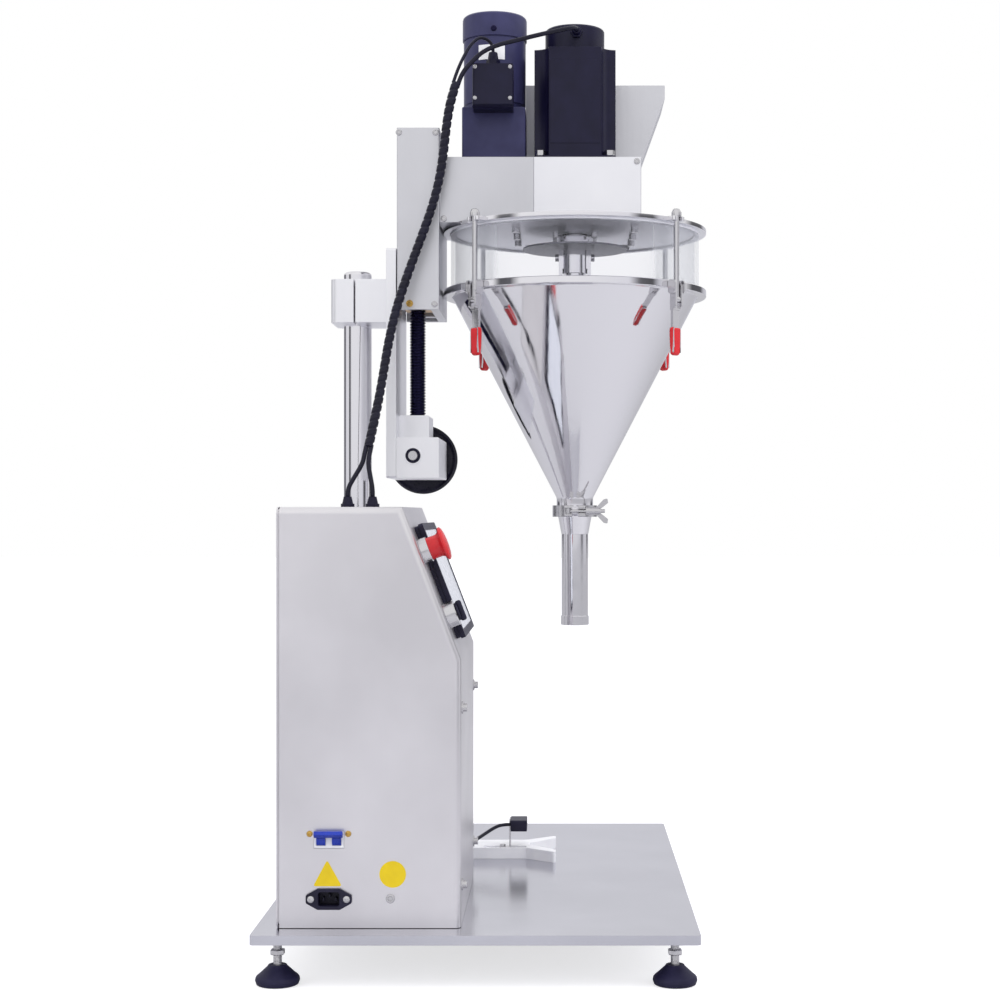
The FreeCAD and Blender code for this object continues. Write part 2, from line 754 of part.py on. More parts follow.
def frame_screws():
    """Column bolts, clamp bolts and the studs on the cabinet's front."""
    pieces = []
    for x, y in column_bolts():
        seat = BASE_TOP + COLUMN_FOOT_T
        pieces.append(rod(9, V(x, y, seat), UP, 1.5).fuse(hexagon(16, V(x, y, seat + 1), UP, 7)))
    for x, z in clamp_bolt_places():
        seat = COLUMN_Y + CLAMP_BEHIND
        pieces.append(rod(6.5, V(x, seat, z), BACK, 8))
    for x in (CABINET_LEFT + 15, CABINET_RIGHT - 15):
        for up in (247, 47):
            seat = V(x, CABINET_Y, BASE_TOP + up)
            washer = rod(7, seat, FRONT, 1.5)
            pieces.append(washer.fuse(rod(4.5, seat, FRONT, 6)))
    return pieces


def lift_back_plate():
    x = around(MACHINE_X, MACHINE_W / 2)
    z = (LIFT_PLATE_BOTTOM, LIFT_PLATE_BOTTOM + LIFT_PLATE_H)
    plate = box(x, (PLATE_FRONT, PLATE_BACK), z)
    return rounded(plate, 3, BACK)


def guide_blocks():
    """Carriage blocks of the two linear guides, bolted to the back plate."""
    pieces = []
    z = (BLOCK_BOTTOM, BLOCK_BOTTOM + BLOCK_LENGTH)
    for side in (-1, 1):
        x = MACHINE_X + side * RAIL_X
        block = box(around(x, BLOCK_W / 2), (PLATE_FRONT - BLOCK_H, PLATE_FRONT), z)
        groove_x = around(x, RAIL_W / 2 + SLIDE_GAP)
        groove_y = (PLATE_FRONT - BLOCK_H - 1, rail_y()[1] + SLIDE_GAP)
        pieces.append(block.cut(box(groove_x, groove_y, (z[0] - 1, z[1] + 1))))
    return pieces


def rail_y():
    front = PLATE_FRONT - BLOCK_H - 4
    return (front, front + RAIL_H)


def guide_rails():
    """The two rails on the carriage, with their row of counterbored holes."""
    pieces = []
    for side in (-1, 1):
        x = MACHINE_X + side * RAIL_X
        rail = box(around(x, RAIL_W / 2), rail_y(), (RAIL_BOTTOM, RAIL_TOP))
        for n in range(4):
            z = RAIL_BOTTOM + 25 + n * (RAIL_TOP - RAIL_BOTTOM - 50) / 3
            rail = rail.cut(rod(3.75, V(x, rail_y()[1] + 1, z), FRONT, 6))
        pieces.append(rail)
    return pieces


def lift_gearbox():
    """The cross block round the bevel gears, and the screw's bearing block on top of it."""
    z = (LIFT_PLATE_BOTTOM, LIFT_PLATE_BOTTOM + GEARBOX_H)
    y = (PLATE_FRONT - GEARBOX_REACH, PLATE_FRONT)
    block = rounded(box(around(MACHINE_X, MACHINE_W / 2), y, z), 2, RIGHT)
    room = GEAR_R + GEARBOX_WALL / 2
    hollow = box(
        around(MACHINE_X, room + 12),
        (SCREW_Y - GEAR_R - 1, SCREW_Y + GEAR_R + 0.5),
        (z[0] + 4, z[1] - 4),
    )
    shaft_from = V(MACHINE_X - MACHINE_W, SCREW_Y, SHAFT_Z)
    shaft_hole = rod(CROSS_SHAFT_R + SHAFT_PLAY, shaft_from, RIGHT, 2 * MACHINE_W)
    screw_hole = upright(SCREW_NECK_R + SHAFT_PLAY, MACHINE_X, SCREW_Y, z[0] + 2, z[1] + 1)
    block = block.cut(Part.makeCompound([hollow]))
    block = block.cut(shaft_hole).cut(screw_hole)
    rings = []
    for side, direction in ((-1, LEFT), (1, RIGHT)):
        seat = V(MACHINE_X + side * MACHINE_W / 2, SCREW_Y, SHAFT_Z)
        ring = rod(BEARING_RING_R, seat, direction, BEARING_RING_T)
        rings.append(ring.cut(shaft_hole))
    bearing_z = (z[1], z[1] + BEARING_H)
    bearing_y = (PLATE_FRONT - BEARING_REACH, PLATE_FRONT)
    bearing = rounded(box(around(MACHINE_X, BEARING_W / 2), bearing_y, bearing_z), 2, RIGHT)
    bore = upright(SCREW_R + SHAFT_PLAY, MACHINE_X, SCREW_Y, z[1] + 6, bearing_z[1] + 1)
    neck = upright(SCREW_NECK_R + SHAFT_PLAY, MACHINE_X, SCREW_Y, z[1] - 1, z[1] + 7)
    bearing = bearing.cut(joined([bore, neck]))
    return [joined([block] + rings), bearing]


def bevel_gear(phase):
    """A bevel wheel whose pitch cone's tip is at the origin, opening along +Z."""
    outer = GEAR_R - TOOTH_GAP
    inner = outer - GEAR_FACE
    tip = Part.makeCone(inner, outer, GEAR_FACE, V(0, 0, inner), UP)
    hub = rod(GEAR_R - 4, V(0, 0, outer), UP, GEAR_HUB)
    wheel = joined([tip, hub])
    cuts = []
    for n in range(GEAR_TEETH):
        angle = 360 / GEAR_TEETH * (n + phase)
        cut = prism(
            [
                V(outer + 3, -1.7, outer + 5),
                V(outer + 3, 1.7, outer + 5),
                V(outer - TOOTH_DEPTH, 0.5, outer + 5),
                V(outer - TOOTH_DEPTH, -0.5, outer + 5),
            ],
            V(-GEAR_FACE - 6, 0, -GEAR_FACE - 6),
        )
        cut.rotate(V(0, 0, 0), UP, angle)
        cuts.append(cut)
    return wheel.cut(Part.makeCompound(cuts))


def cross_shaft():
    """The handwheel's shaft through the gearbox, with its bevel wheel."""
    left = MACHINE_X - MACHINE_W / 2 - 6
    right = wheel_face() + WHEEL_HUB_T
    shaft = rod(CROSS_SHAFT_R, V(left, SCREW_Y, SHAFT_Z), RIGHT, right - left)
    gear = bevel_gear(0)
    gear.rotate(V(0, 0, 0), BACK, 90)
    gear.translate(V(MACHINE_X, SCREW_Y, SHAFT_Z))
    clear = upright(SCREW_NECK_R + 1, MACHINE_X, SCREW_Y, SHAFT_Z - 40, SHAFT_Z + 40)
    return joined([gear.cut(clear), shaft])


def wheel_face():
    return MACHINE_X + MACHINE_W / 2 + WHEEL_GAP


def handwheel():
    """A solid disc wheel with a rounded rim, a hub and a boss for the grip's pin."""
    x = wheel_face()
    outline = [
        (CROSS_SHAFT_R, 0),
        (WHEEL_HUB_R, 0),
        (WHEEL_HUB_R, 2),
        (WHEEL_R - 8, 3),
        (WHEEL_R - 3, 1),
        (WHEEL_R, 4),
        (WHEEL_R, WHEEL_T - 4),
        (WHEEL_R - 2.5, WHEEL_T - 1),
        (WHEEL_R - 6, WHEEL_T - 3),
        (WHEEL_HUB_R + 4, WHEEL_T - 5),
        (WHEEL_HUB_R, WHEEL_T),
        (CROSS_SHAFT_R, WHEEL_T),
    ]
    wheel = turned(outline, 0, 0)
    pin_at = V(0, GRIP_CIRCLE_R, WHEEL_T - 6)
    pin = rod(GRIP_PIN_R, pin_at, UP, GRIP_LENGTH + 8)
    button = rod(GRIP_PIN_R + 2, pin_at + UP * (GRIP_LENGTH + 6.6), UP, 2)
    wheel = joined([wheel, pin, button])
    wheel.rotate(V(0, 0, 0), BACK, 90)
    wheel.translate(V(x, SCREW_Y, SHAFT_Z))
    return wheel


def crank_grip():
    """The revolving grip, free on the handwheel's pin."""
    low = WHEEL_T - 1.7
    bore = GRIP_PIN_R + SHAFT_PLAY
    high = low + GRIP_LENGTH
    outline = [
        (bore, low),
        (GRIP_R - 3, low),
        (GRIP_R - 1.5, low + 6),
        (GRIP_R, low + GRIP_LENGTH * 0.5),
        (GRIP_R - 0.8, low + GRIP_LENGTH * 0.85),
        (GRIP_R - 4, high),
        (bore, high),
    ]
    grip = turned(outline, 0, GRIP_CIRCLE_R)
    grip.rotate(V(0, 0, 0), BACK, 90)
    grip.translate(V(wheel_face(), SCREW_Y, SHAFT_Z))
    return grip


def lead_screw():
    """The trapezoidal lift screw with its neck, thrust shoulder and bevel wheel."""
    shoulder = LIFT_PLATE_BOTTOM + GEARBOX_H + 7.5
    body = upright(SCREW_R, MACHINE_X, SCREW_Y, shoulder, SCREW_TOP)
    body = body.makeChamfer(2, [e for e in body.Edges if e.BoundBox.ZMin > SCREW_TOP - 1])
    gear = bevel_gear(0.5)
    gear.translate(V(MACHINE_X, SCREW_Y, SHAFT_Z))
    low = SHAFT_Z + CROSS_SHAFT_R + 1.5
    neck = upright(SCREW_NECK_R, MACHINE_X, SCREW_Y, low, shoulder + 1)
    return joined([body, neck, gear])


# ---------------------------------------------------------------- carriage and head
def carriage():
    """The open-bottomed carriage box with its rail bars inside."""
    x = around(MACHINE_X, MACHINE_W / 2)
    y = (CARRIAGE_Y, CARRIAGE_BACK)
    z = (CARRIAGE_BOTTOM, CARRIAGE_TOP)
    hollow_x = (x[0] + CARRIAGE_WALL, x[1] - CARRIAGE_WALL)
    hollow = box(hollow_x, (y[0] + CARRIAGE_FACE, y[1] + 1), (z[0] - 1, z[1] - CARRIAGE_TOP_T))
    shell = rounded(box(x, y, z), 1.5, UP).cut(hollow)
    bars = []
    for side in (-1, 1):
        bar_x = around(MACHINE_X + side * RAIL_X, RAIL_W / 2)
        bars.append(box(bar_x, (y[0] + CARRIAGE_FACE - 1, rail_y()[0]), (RAIL_BOTTOM, RAIL_TOP)))
    return joined([shell] + bars)


def lift_nut():
    """The bronze nut block on the screw, bolted behind the carriage's face."""
    y = (CARRIAGE_Y + CARRIAGE_FACE, SCREW_Y + SCREW_R + NUT_BACK / 2)
    z = (NUT_BOTTOM, NUT_BOTTOM + NUT_H)
    block = box(around(MACHINE_X, NUT_W / 2), y, z)
    bore = upright(SCREW_R + SHAFT_PLAY, MACHINE_X, SCREW_Y, z[0] - 1, z[1] + 1)
    return block.cut(bore)


def head_housing():
    """The long gear case of the head: a floor, four walls and a lid plate in one casing."""
    x = around(MACHINE_X, MACHINE_W / 2)
    y = (HEAD_Y, CARRIAGE_Y)
    z = (HEAD_BOTTOM, HEAD_TOP)
    case = rounded(box(x, y, z), 1.5, UP)
    hollow = box(
        (x[0] + HEAD_WALL, x[1] - HEAD_WALL),
        (y[0] + HEAD_WALL, y[1] - HEAD_WALL),
        (z[0] + HEAD_FLOOR, z[1] - HEAD_WALL),
    )
    sleeve_hole = upright(SLEEVE_R + SHAFT_PLAY, MACHINE_X, AUGER_Y, z[0] - 1, z[0] + HEAD_FLOOR + 1)
    motor_hole = upright(GEAR_SHAFT_R + 6, MACHINE_X, GEAR_MOTOR_Y, z[1] - 10, z[1] + 1)
    auger_hole = upright(AUGER_STEM_R + 4, MACHINE_X, AUGER_Y, z[1] - 10, z[1] + 1)
    case = case.cut(hollow).cut(Part.makeCompound([sleeve_hole, motor_hole, auger_hole]))
    seam_y = around(BASE_Y - HEAD_SEAM, HEAD_SEAM_W / 2)
    for wall in ((x[0] - 1, x[0] + 1), (x[1] - 1, x[1] + 1)):
        case = case.cut(box(wall, seam_y, (z[0] - 1, z[1] + 1)))
    return case


def gear_motor():
    """Right-hand motor of the pair: square gearbox, dark ring, body and fan cap."""
    z0 = HEAD_TOP
    z1 = z0 + GEARBOX_SQUARE_H
    z2 = z1 + GEAR_RING_H
    half = GEARBOX_SQUARE / 2
    square = box(around(MACHINE_X, half), around(GEAR_MOTOR_Y, half), (z0, z1))
    square = rounded(square, 6, UP)
    ring = upright(GEAR_RING_R, MACHINE_X, GEAR_MOTOR_Y, z1 - 1, z2 + 1)
    body = upright(GEAR_MOTOR_R, MACHINE_X, GEAR_MOTOR_Y, z2, GEAR_MOTOR_TOP)
    cap = upright(GEAR_CAP_R, MACHINE_X, GEAR_MOTOR_Y, GEAR_MOTOR_TOP - 0.5, GEAR_CAP_TOP)
    cap = cap.makeFillet(5, [e for e in cap.Edges if e.BoundBox.ZMin > GEAR_CAP_TOP - 1])
    return joined([square, ring, body, cap])


def terminal_box():
    """The wiring box on the gear motor's left, bevelled underneath, with its gland."""
    half = TERMINAL_W / 2
    left = MACHINE_X - TERMINAL_REACH
    top = TERMINAL_BOTTOM + TERMINAL_H
    outline = [
        V(left, 0, TERMINAL_BOTTOM + TERMINAL_BEVEL),
        V(left, 0, top),
        V(MACHINE_X, 0, top),
        V(MACHINE_X, 0, HEAD_TOP + GEARBOX_SQUARE_H + SLIDE_GAP),
        V(MACHINE_X - GEARBOX_SQUARE / 2 - 2, 0, HEAD_TOP + GEARBOX_SQUARE_H + SLIDE_GAP),
        V(MACHINE_X - GEARBOX_SQUARE / 2 - 2, 0, TERMINAL_BOTTOM),
        V(left + TERMINAL_BEVEL, 0, TERMINAL_BOTTOM),
    ]
    shape = prism(outline, V(0, TERMINAL_W, 0))
    shape.translate(V(0, GEAR_MOTOR_Y - half, 0))
    shape = rounded(shape, 3, UP)
    shape = shape.cut(upright(GEAR_MOTOR_R, MACHINE_X, GEAR_MOTOR_Y, TERMINAL_BOTTOM - 1, top + 1))
    gland_at = terminal_gland()
    nut = hexagon(2 * TERMINAL_GLAND_R - 1, gland_at - UP * 0.5, UP, 8)
    dome = Part.makeCone(
        TERMINAL_GLAND_R - 1, TERMINAL_GLAND_R - 3, TERMINAL_GLAND_H - 7, gland_at + UP * 7, UP
    )
    return joined([shape, nut, dome])


def terminal_gland():
    return V(MACHINE_X - TERMINAL_REACH + 17, GEAR_MOTOR_Y, TERMINAL_BOTTOM + TERMINAL_H)


def auger_motor():
    """The auger's servo motor: square flange, notched body, round cap and cable gland."""
    half = AUGER_FLANGE / 2
    z0 = HEAD_TOP
    flange = box(around(MACHINE_X, half), around(AUGER_Y, half), (z0, z0 + AUGER_FLANGE_T))
    flange = rounded(flange, 8, UP)
    body = box(around(MACHINE_X, half), around(AUGER_Y, half), (z0 + AUGER_FLANGE_T, AUGER_BODY_TOP))
    for sx in (-1, 1):
        for sy in (-1, 1):
            x = MACHINE_X + sx * half
            y = AUGER_Y + sy * half
            body = body.cut(upright(AUGER_NOTCH, x, y, z0 + AUGER_FLANGE_T, AUGER_BODY_TOP + 1))
    cap = upright(AUGER_CAP_R, MACHINE_X, AUGER_Y, AUGER_BODY_TOP - 1, AUGER_CAP_TOP)
    cap = cap.makeFillet(4, [e for e in cap.Edges if e.BoundBox.ZMin > AUGER_CAP_TOP - 1])
    gland_at = auger_gland()
    nut = hexagon(15, gland_at, LEFT, 7)
    neck = rod(6.2, gland_at + RIGHT * 8, LEFT, 10)
    dome = Part.makeCone(6.5, 4.6, GLAND_H - 6, gland_at + LEFT * 6, LEFT)
    return joined([flange, body, cap, neck, nut, dome])


def auger_gland():
    return V(MACHINE_X - AUGER_CAP_R + 1, AUGER_Y - 2, AUGER_CAP_TOP - 12)


def head_screws():
    """Corner bolts of the auger motor and the bolts that hang the lid from the head."""
    pieces = []
    pitch = AUGER_BOLT_PITCH / 2
    for sx in (-1, 1):
        for sy in (-1, 1):
            seat = V(MACHINE_X + sx * pitch, AUGER_Y + sy * pitch, HEAD_TOP + AUGER_FLANGE_T)
            pieces.append(rod(7, seat, UP, 1.5).fuse(hexagon(13, seat + UP, UP, 6)))
    under = LID_TOP - LID_T
    for sy in (-1, 1):
        for dx in (-77, -10, 51):
            pieces.append(rod(5, V(MACHINE_X + dx, AUGER_Y + sy * 79, under), DOWN, 7))
    for sx in (-1, 1):
        for sy in (-1, 1):
            pieces.append(rod(4.5, V(MACHINE_X + sx * 26, AUGER_Y + sy * 26, under), DOWN, 6))
    return pieces


# ---------------------------------------------------------------- hopper and nozzle
def slot_box(inset, z):
    left = MACHINE_X + SLOT_LEFT
    x = (left + inset, left + SLOT_WIDTH - inset)
    return box(x, (BASE_Y - SLOT_FRONT + inset, BASE_Y - SLOT_BACK - inset), z)


def hopper_lid():
    """The fixed lid plate with its powder slot, sleeve bore and four slotted clasp ears."""
    z = (LID_TOP - LID_T, LID_TOP)
    plate = upright(LID_R, MACHINE_X, AUGER_Y, z[0], z[1])
    tip = LID_R + LID_EAR_OUT
    for n in range(CLASP_COUNT):
        ear = box((MACHINE_X + LID_R - 15, MACHINE_X + tip), around(AUGER_Y, LID_EAR_W / 2), z)
        ear = rounded(ear, 4, UP)
        slot_x = (MACHINE_X + CLASP_R - LID_EAR_SLOT / 2, MACHINE_X + tip + 1)
        slot = box(slot_x, around(AUGER_Y, LID_EAR_SLOT / 2), (z[0] - 1, z[1] + 1))
        plate = plate.fuse(at_clasp(ear, n)).cut(at_clasp(slot, n))
    bore = upright(LID_BORE_R, MACHINE_X, AUGER_Y, z[0] - 1, z[1] + 1)
    return plate.removeSplitter().cut(bore).cut(slot_box(0, (z[0] - 1, z[1] + 1)))


def hopper_ring():
    outer = upright(RING_R, MACHINE_X, AUGER_Y, RING_BOTTOM, RING_TOP)
    return outer.cut(upright(RING_R - RING_WALL, MACHINE_X, AUGER_Y, RING_BOTTOM - 1, RING_TOP + 1))


def lid_gasket_outline():
    outer = RING_R + 1
    inner = RING_R - RING_WALL - 1
    return [(inner, RING_TOP), (outer, RING_TOP), (outer, LID_TOP - LID_T), (inner, LID_TOP - LID_T)]


def hopper_cone():
    """The spun hopper: flat flange, cone and outlet ferrule in one wall."""
    flange_top = RING_BOTTOM
    flange_low = flange_top - CONE_FLANGE_T
    inner_r = CONE_R - CONE_WALL
    outlet_in = CONE_OUTLET_R - CONE_WALL
    outline = [
        (inner_r, flange_top),
        (LID_R, flange_top),
        (LID_R, flange_low),
        (CONE_R, flange_low),
        (CONE_OUTLET_R, CONE_OUTLET_TOP),
        (CONE_OUTLET_R, OUTLET_Z + FERRULE_FLANGE_T + 3),
        (FERRULE_FLANGE_R, OUTLET_Z + FERRULE_FLANGE_T),
        (FERRULE_FLANGE_R, OUTLET_Z),
        (outlet_in, OUTLET_Z),
        (outlet_in, CONE_OUTLET_TOP),
        (inner_r, flange_low),
    ]
    return turned(outline, MACHINE_X, AUGER_Y)


def nozzle_tube():
    """The filling tube: ferrule flange, taper, straight tube and end collar."""
    collar_top = NOZZLE_BOTTOM + NOZZLE_COLLAR_H
    bore = NOZZLE_BORE_R
    outline = [
        (bore, OUTLET_Z),
        (FERRULE_FLANGE_R, OUTLET_Z),
        (FERRULE_FLANGE_R, OUTLET_Z - FERRULE_FLANGE_T),
        (NOZZLE_TAPER_R, OUTLET_Z - FERRULE_FLANGE_T - 4),
        (NOZZLE_R + 0.3, NOZZLE_TAPER_BOTTOM),
        (NOZZLE_R, NOZZLE_TAPER_BOTTOM),
        (NOZZLE_R, collar_top),
        (NOZZLE_COLLAR_R, collar_top),
        (NOZZLE_COLLAR_R, NOZZLE_BOTTOM),
        (bore, NOZZLE_BOTTOM),
    ]
    return turned(outline, MACHINE_X, AUGER_Y)


def outlet_clamp():
    """The hinged band round the two ferrule flanges, with lugs for the swing bolt."""
    z = around(OUTLET_Z, BAND_H / 2)
    band = upright(BAND_R, MACHINE_X, AUGER_Y, z[0], z[1])
    inner = [
        (0, z[0] - 1),
        (CONE_OUTLET_R + 0.4, z[0] - 1),
        (CONE_OUTLET_R + 0.4, OUTLET_Z - FERRULE_FLANGE_T - 3.2),
        (FERRULE_FLANGE_R, OUTLET_Z - FERRULE_FLANGE_T),
        (FERRULE_FLANGE_R, OUTLET_Z + FERRULE_FLANGE_T),
        (CONE_OUTLET_R + 0.4, OUTLET_Z + FERRULE_FLANGE_T + 3.2),
        (CONE_OUTLET_R + 0.4, z[1] + 1),
        (0, z[1] + 1),
    ]
    band = band.cut(turned(inner, MACHINE_X, AUGER_Y))
    lugs = []
    for side in (-1, 1):
        lug_y = AUGER_Y + side * (BAND_OPEN / 2 + BAND_LUG / 2)
        lug = box((MACHINE_X - BAND_R - 12, MACHINE_X - BAND_R + 3), around(lug_y, BAND_LUG / 2), z)
        lug = rounded(lug, 2, BACK)
        reach = BAND_OPEN + BAND_LUG * 1.5
        lugs.append(lug.common(upright(reach, swing_bolt_x(), swing_bolt_y(), z[0], z[1])))
    band = joined([band] + lugs)
    gap = box((MACHINE_X - BAND_R - 20, MACHINE_X - 10), around(AUGER_Y, BAND_OPEN / 2), (z[0] - 1, z[1] + 1))
    hinge_gap = box((MACHINE_X + 20, MACHINE_X + BAND_R + 2), around(AUGER_Y, 0.4), (z[0] - 1, z[1] + 1))
    slot = box(
        (MACHINE_X - BAND_R - 20, swing_bolt_x() + 4.4),
        around(AUGER_Y, BAND_OPEN / 2 + BAND_LUG + 1),
        around(OUTLET_Z, 4.2),
    )
    halves = band.cut(gap).cut(hinge_gap).cut(slot)
    pin = upright(2.0, swing_bolt_x(), swing_bolt_y(), z[0], z[1])
    hinge = upright(4.5, MACHINE_X + BAND_R + 3, AUGER_Y, z[0], z[1])
    return [joined([halves, pin, hinge.fuse(box(
        (MACHINE_X + BAND_R - 2, MACHINE_X + BAND_R + 3), around(AUGER_Y, 6), around(OUTLET_Z, 4)
    ))])]


def swing_bolt_x():
    return MACHINE_X - BAND_R - 6


def swing_bolt_y():
    return AUGER_Y + BAND_OPEN / 2 + BAND_LUG / 2


def swing_bolt():
    """The eye bolt that swings out of the band's slot."""
    eye_at = V(swing_bolt_x(), swing_bolt_y(), OUTLET_Z - 3.6)
    eye = rod(3.9, eye_at, UP, 7.2)
    stem = rod(2.5, V(swing_bolt_x(), swing_bolt_y(), OUTLET_Z), FRONT, 50)
    hole = rod(2.0 + SHAFT_PLAY, eye_at - UP, UP, 10)
    return joined([eye, stem]).cut(hole)


def wing_nut():
    """The barrel nut with two rounded wings on the swing bolt."""
    start = V(swing_bolt_x(), AUGER_Y - BAND_OPEN / 2 - BAND_LUG - SLIDE_GAP, OUTLET_Z)
    barrel = Part.makeCone(5.8, 4.8, 20, start, FRONT)
    wing = [
        V(start.x, start.y - 12, OUTLET_Z + 3),
        V(start.x, start.y - 20, OUTLET_Z + 3),
        V(start.x, start.y - 30, OUTLET_Z + 11),
        V(start.x, start.y - 29, OUTLET_Z + 17),
        V(start.x, start.y - 24, OUTLET_Z + 16),
    ]
    upper = prism(wing, V(4, 0, 0))
    upper.translate(V(-2, 0, 0))
    upper = rounded(upper, 1.2, RIGHT)
    lower = upper.copy()
    lower.rotate(start, FRONT, 180)
    hole = rod(2.5 + SHAFT_PLAY, start + BACK, FRONT, 40)
    return joined([barrel, upper, lower]).cut(hole)


def feed_chute():
    """The powder inlet beside the head: a flanged duct that flares to a wide mouth."""
    left = MACHINE_X + SLOT_LEFT
    right = left + SLOT_WIDTH
    front = BASE_Y - SLOT_FRONT
    back = BASE_Y - SLOT_BACK
    outer = chute_solid(left, right, front, back, 0, LID_TOP)
    inner = chute_solid(left, right, front, back, CHUTE_WALL, LID_TOP - 1)
    flange = box(
        (left, right + CHUTE_FLANGE), (front - CHUTE_FLANGE, back + CHUTE_FLANGE), (LID_TOP, LID_TOP + 3)
    )
    round_edge = upright(LID_R - 2, MACHINE_X, AUGER_Y, LID_TOP, LID_TOP + 3)
    return joined([outer, flange.common(round_edge)]).cut(inner)


def chute_solid(left, right, front, back, inset, bottom):
    duct = box((left + inset, right - inset), (front + inset, back - inset), (bottom, CHUTE_BEND))
    low = rectangle(left + inset, right - inset, front + inset, back - inset, CHUTE_BEND)
    wide_x = right + CHUTE_FLARE_RIGHT - inset
    wide_y = front - CHUTE_FLARE_FRONT + inset
    high = rectangle(left + inset, wide_x, wide_y, back - inset, CHUTE_LIP)
    flare = Part.makeLoft([low, high], True, True)
    lip_top = CHUTE_TOP + (1 if inset else 0)
    lip = box((left + inset, wide_x), (wide_y, back - inset), (CHUTE_LIP, lip_top))
    return joined([duct, flare, lip])


def rectangle(x0, x1, y0, y1, z):
    corners = [V(x0, y0, z), V(x1, y0, z), V(x1, y1, z), V(x0, y1, z), V(x0, y0, z)]
    return Part.makePolygon(corners)


# ---------------------------------------------------------------- drives
def agitator():
    """The slow sleeve round the auger, its driven pulley, and two scraper arms."""
    high = AGITATOR_PULLEY_Z + PULLEY_H
    sleeve = upright(SLEEVE_R, MACHINE_X, AUGER_Y, SLEEVE_BOTTOM, high)
    pulley = upright(AGITATOR_PULLEY_R, MACHINE_X, AUGER_Y, AGITATOR_PULLEY_Z, high)
    bore = upright(SLEEVE_BORE_R + SHAFT_PLAY, MACHINE_X, AUGER_Y, SLEEVE_BOTTOM - 1, high + 1)
    belt_low = AGITATOR_PULLEY_Z + (PULLEY_H - BELT_W) / 2
    groove = turned(
        [
            (AGITATOR_PULLEY_R - BELT_T, belt_low),
            (AGITATOR_PULLEY_R + 1, belt_low),
            (AGITATOR_PULLEY_R + 1, belt_low + BELT_W),
            (AGITATOR_PULLEY_R - BELT_T, belt_low + BELT_W),
        ],
        MACHINE_X,
        AUGER_Y,
    )
    hub = joined([sleeve, pulley]).cut(bore).cut(groove)
    slope = (CONE_R - CONE_OUTLET_R) / (RING_BOTTOM - CONE_FLANGE_T - CONE_OUTLET_TOP)
    elbow_z = SLEEVE_BOTTOM - 22
    elbow_r = ARM_SHOULDER_R + 62
    scrape_top = RING_BOTTOM - 40
    top_r = CONE_OUTLET_R + slope * (scrape_top - CONE_OUTLET_TOP) - ARM_CLEAR - ARM_T
    low_r = CONE_OUTLET_R + slope * (ARM_BOTTOM - CONE_OUTLET_TOP) - ARM_CLEAR - ARM_T
    top_r = min(top_r, elbow_r)
    outline = [
        V(SLEEVE_R - 1.5, 0, SLEEVE_BOTTOM + 34),
        V(SLEEVE_R + ARM_T, 0, SLEEVE_BOTTOM + 34),
        V(SLEEVE_R + ARM_T, 0, elbow_z + ARM_T),
        V(top_r + ARM_T, 0, scrape_top + ARM_T),
        V(low_r + ARM_T, 0, ARM_BOTTOM),
        V(low_r, 0, ARM_BOTTOM),
        V(top_r - 2, 0, scrape_top),
        V(SLEEVE_R + 0.2, 0, elbow_z),
        V(SLEEVE_R + 0.2, 0, SLEEVE_BOTTOM + 6),
        V(SLEEVE_R - 1.5, 0, SLEEVE_BOTTOM + 6),
    ]
    pieces = [hub]
    for angle in (-90, 90):
        arm = prism(outline, V(0, ARM_W, 0))
        arm.translate(V(MACHINE_X, AUGER_Y - ARM_W / 2, 0))
        bolt = rod(5, V(MACHINE_X + SLEEVE_R + ARM_T - 1, AUGER_Y, SLEEVE_BOTTOM + 22), RIGHT, 6)
        whole = joined([arm, bolt]).cut(bore)
        whole.rotate(V(MACHINE_X, AUGER_Y, 0), UP, angle)
        pieces.append(whole)
    return joined(pieces)


def motor_pulley():
    """The driving pulley on the gear motor's shaft."""
    high = AGITATOR_PULLEY_Z + PULLEY_H
    wheel = upright(MOTOR_PULLEY_R, MACHINE_X, GEAR_MOTOR_Y, AGITATOR_PULLEY_Z, high)
    belt_low = AGITATOR_PULLEY_Z + (PULLEY_H - BELT_W) / 2
    groove = turned(
        [
            (MOTOR_PULLEY_R - BELT_T, belt_low),
            (MOTOR_PULLEY_R + 1, belt_low),
            (MOTOR_PULLEY_R + 1, belt_low + BELT_W),
            (MOTOR_PULLEY_R - BELT_T, belt_low + BELT_W),
        ],
        MACHINE_X,
        GEAR_MOTOR_Y,
    )
    shaft = upright(GEAR_SHAFT_R, MACHINE_X, GEAR_MOTOR_Y, AGITATOR_PULLEY_Z, HEAD_TOP - SLIDE_GAP)
    return joined([wheel.cut(groove), shaft])


def belt_band(margin, z):
    """The stadium round both pulleys, margin outside their grooves."""
    front_r = AGITATOR_PULLEY_R - BELT_T + margin
    rear_r = MOTOR_PULLEY_R - BELT_T + margin
    span = GEAR_MOTOR_Y - AUGER_Y
    lean = math.asin((front_r - rear_r) / span)
    c = math.cos(lean)
    s = math.sin(lean)
    corners = [
        V(MACHINE_X + front_r * c, AUGER_Y + front_r * s, z[0]),
        V(MACHINE_X + rear_r * c, GEAR_MOTOR_Y + rear_r * s, z[0]),
        V(MACHINE_X - rear_r * c, GEAR_MOTOR_Y + rear_r * s, z[0]),
        V(MACHINE_X - front_r * c, AUGER_Y + front_r * s, z[0]),
    ]
    middle = prism(corners, V(0, 0, z[1] - z[0]))
    front = upright(front_r, MACHINE_X, AUGER_Y, z[0], z[1])
    rear = upright(rear_r, MACHINE_X, GEAR_MOTOR_Y, z[0], z[1])
    return joined([middle, front, rear])


def drive_belt():
    low = AGITATOR_PULLEY_Z + (PULLEY_H - BELT_W) / 2 + SLIDE_GAP
    high = low + BELT_W - 2 * SLIDE_GAP
    outer = belt_band(BELT_T, (low, high))
    return outer.cut(belt_band(0.2, (low - 1, high + 1)))


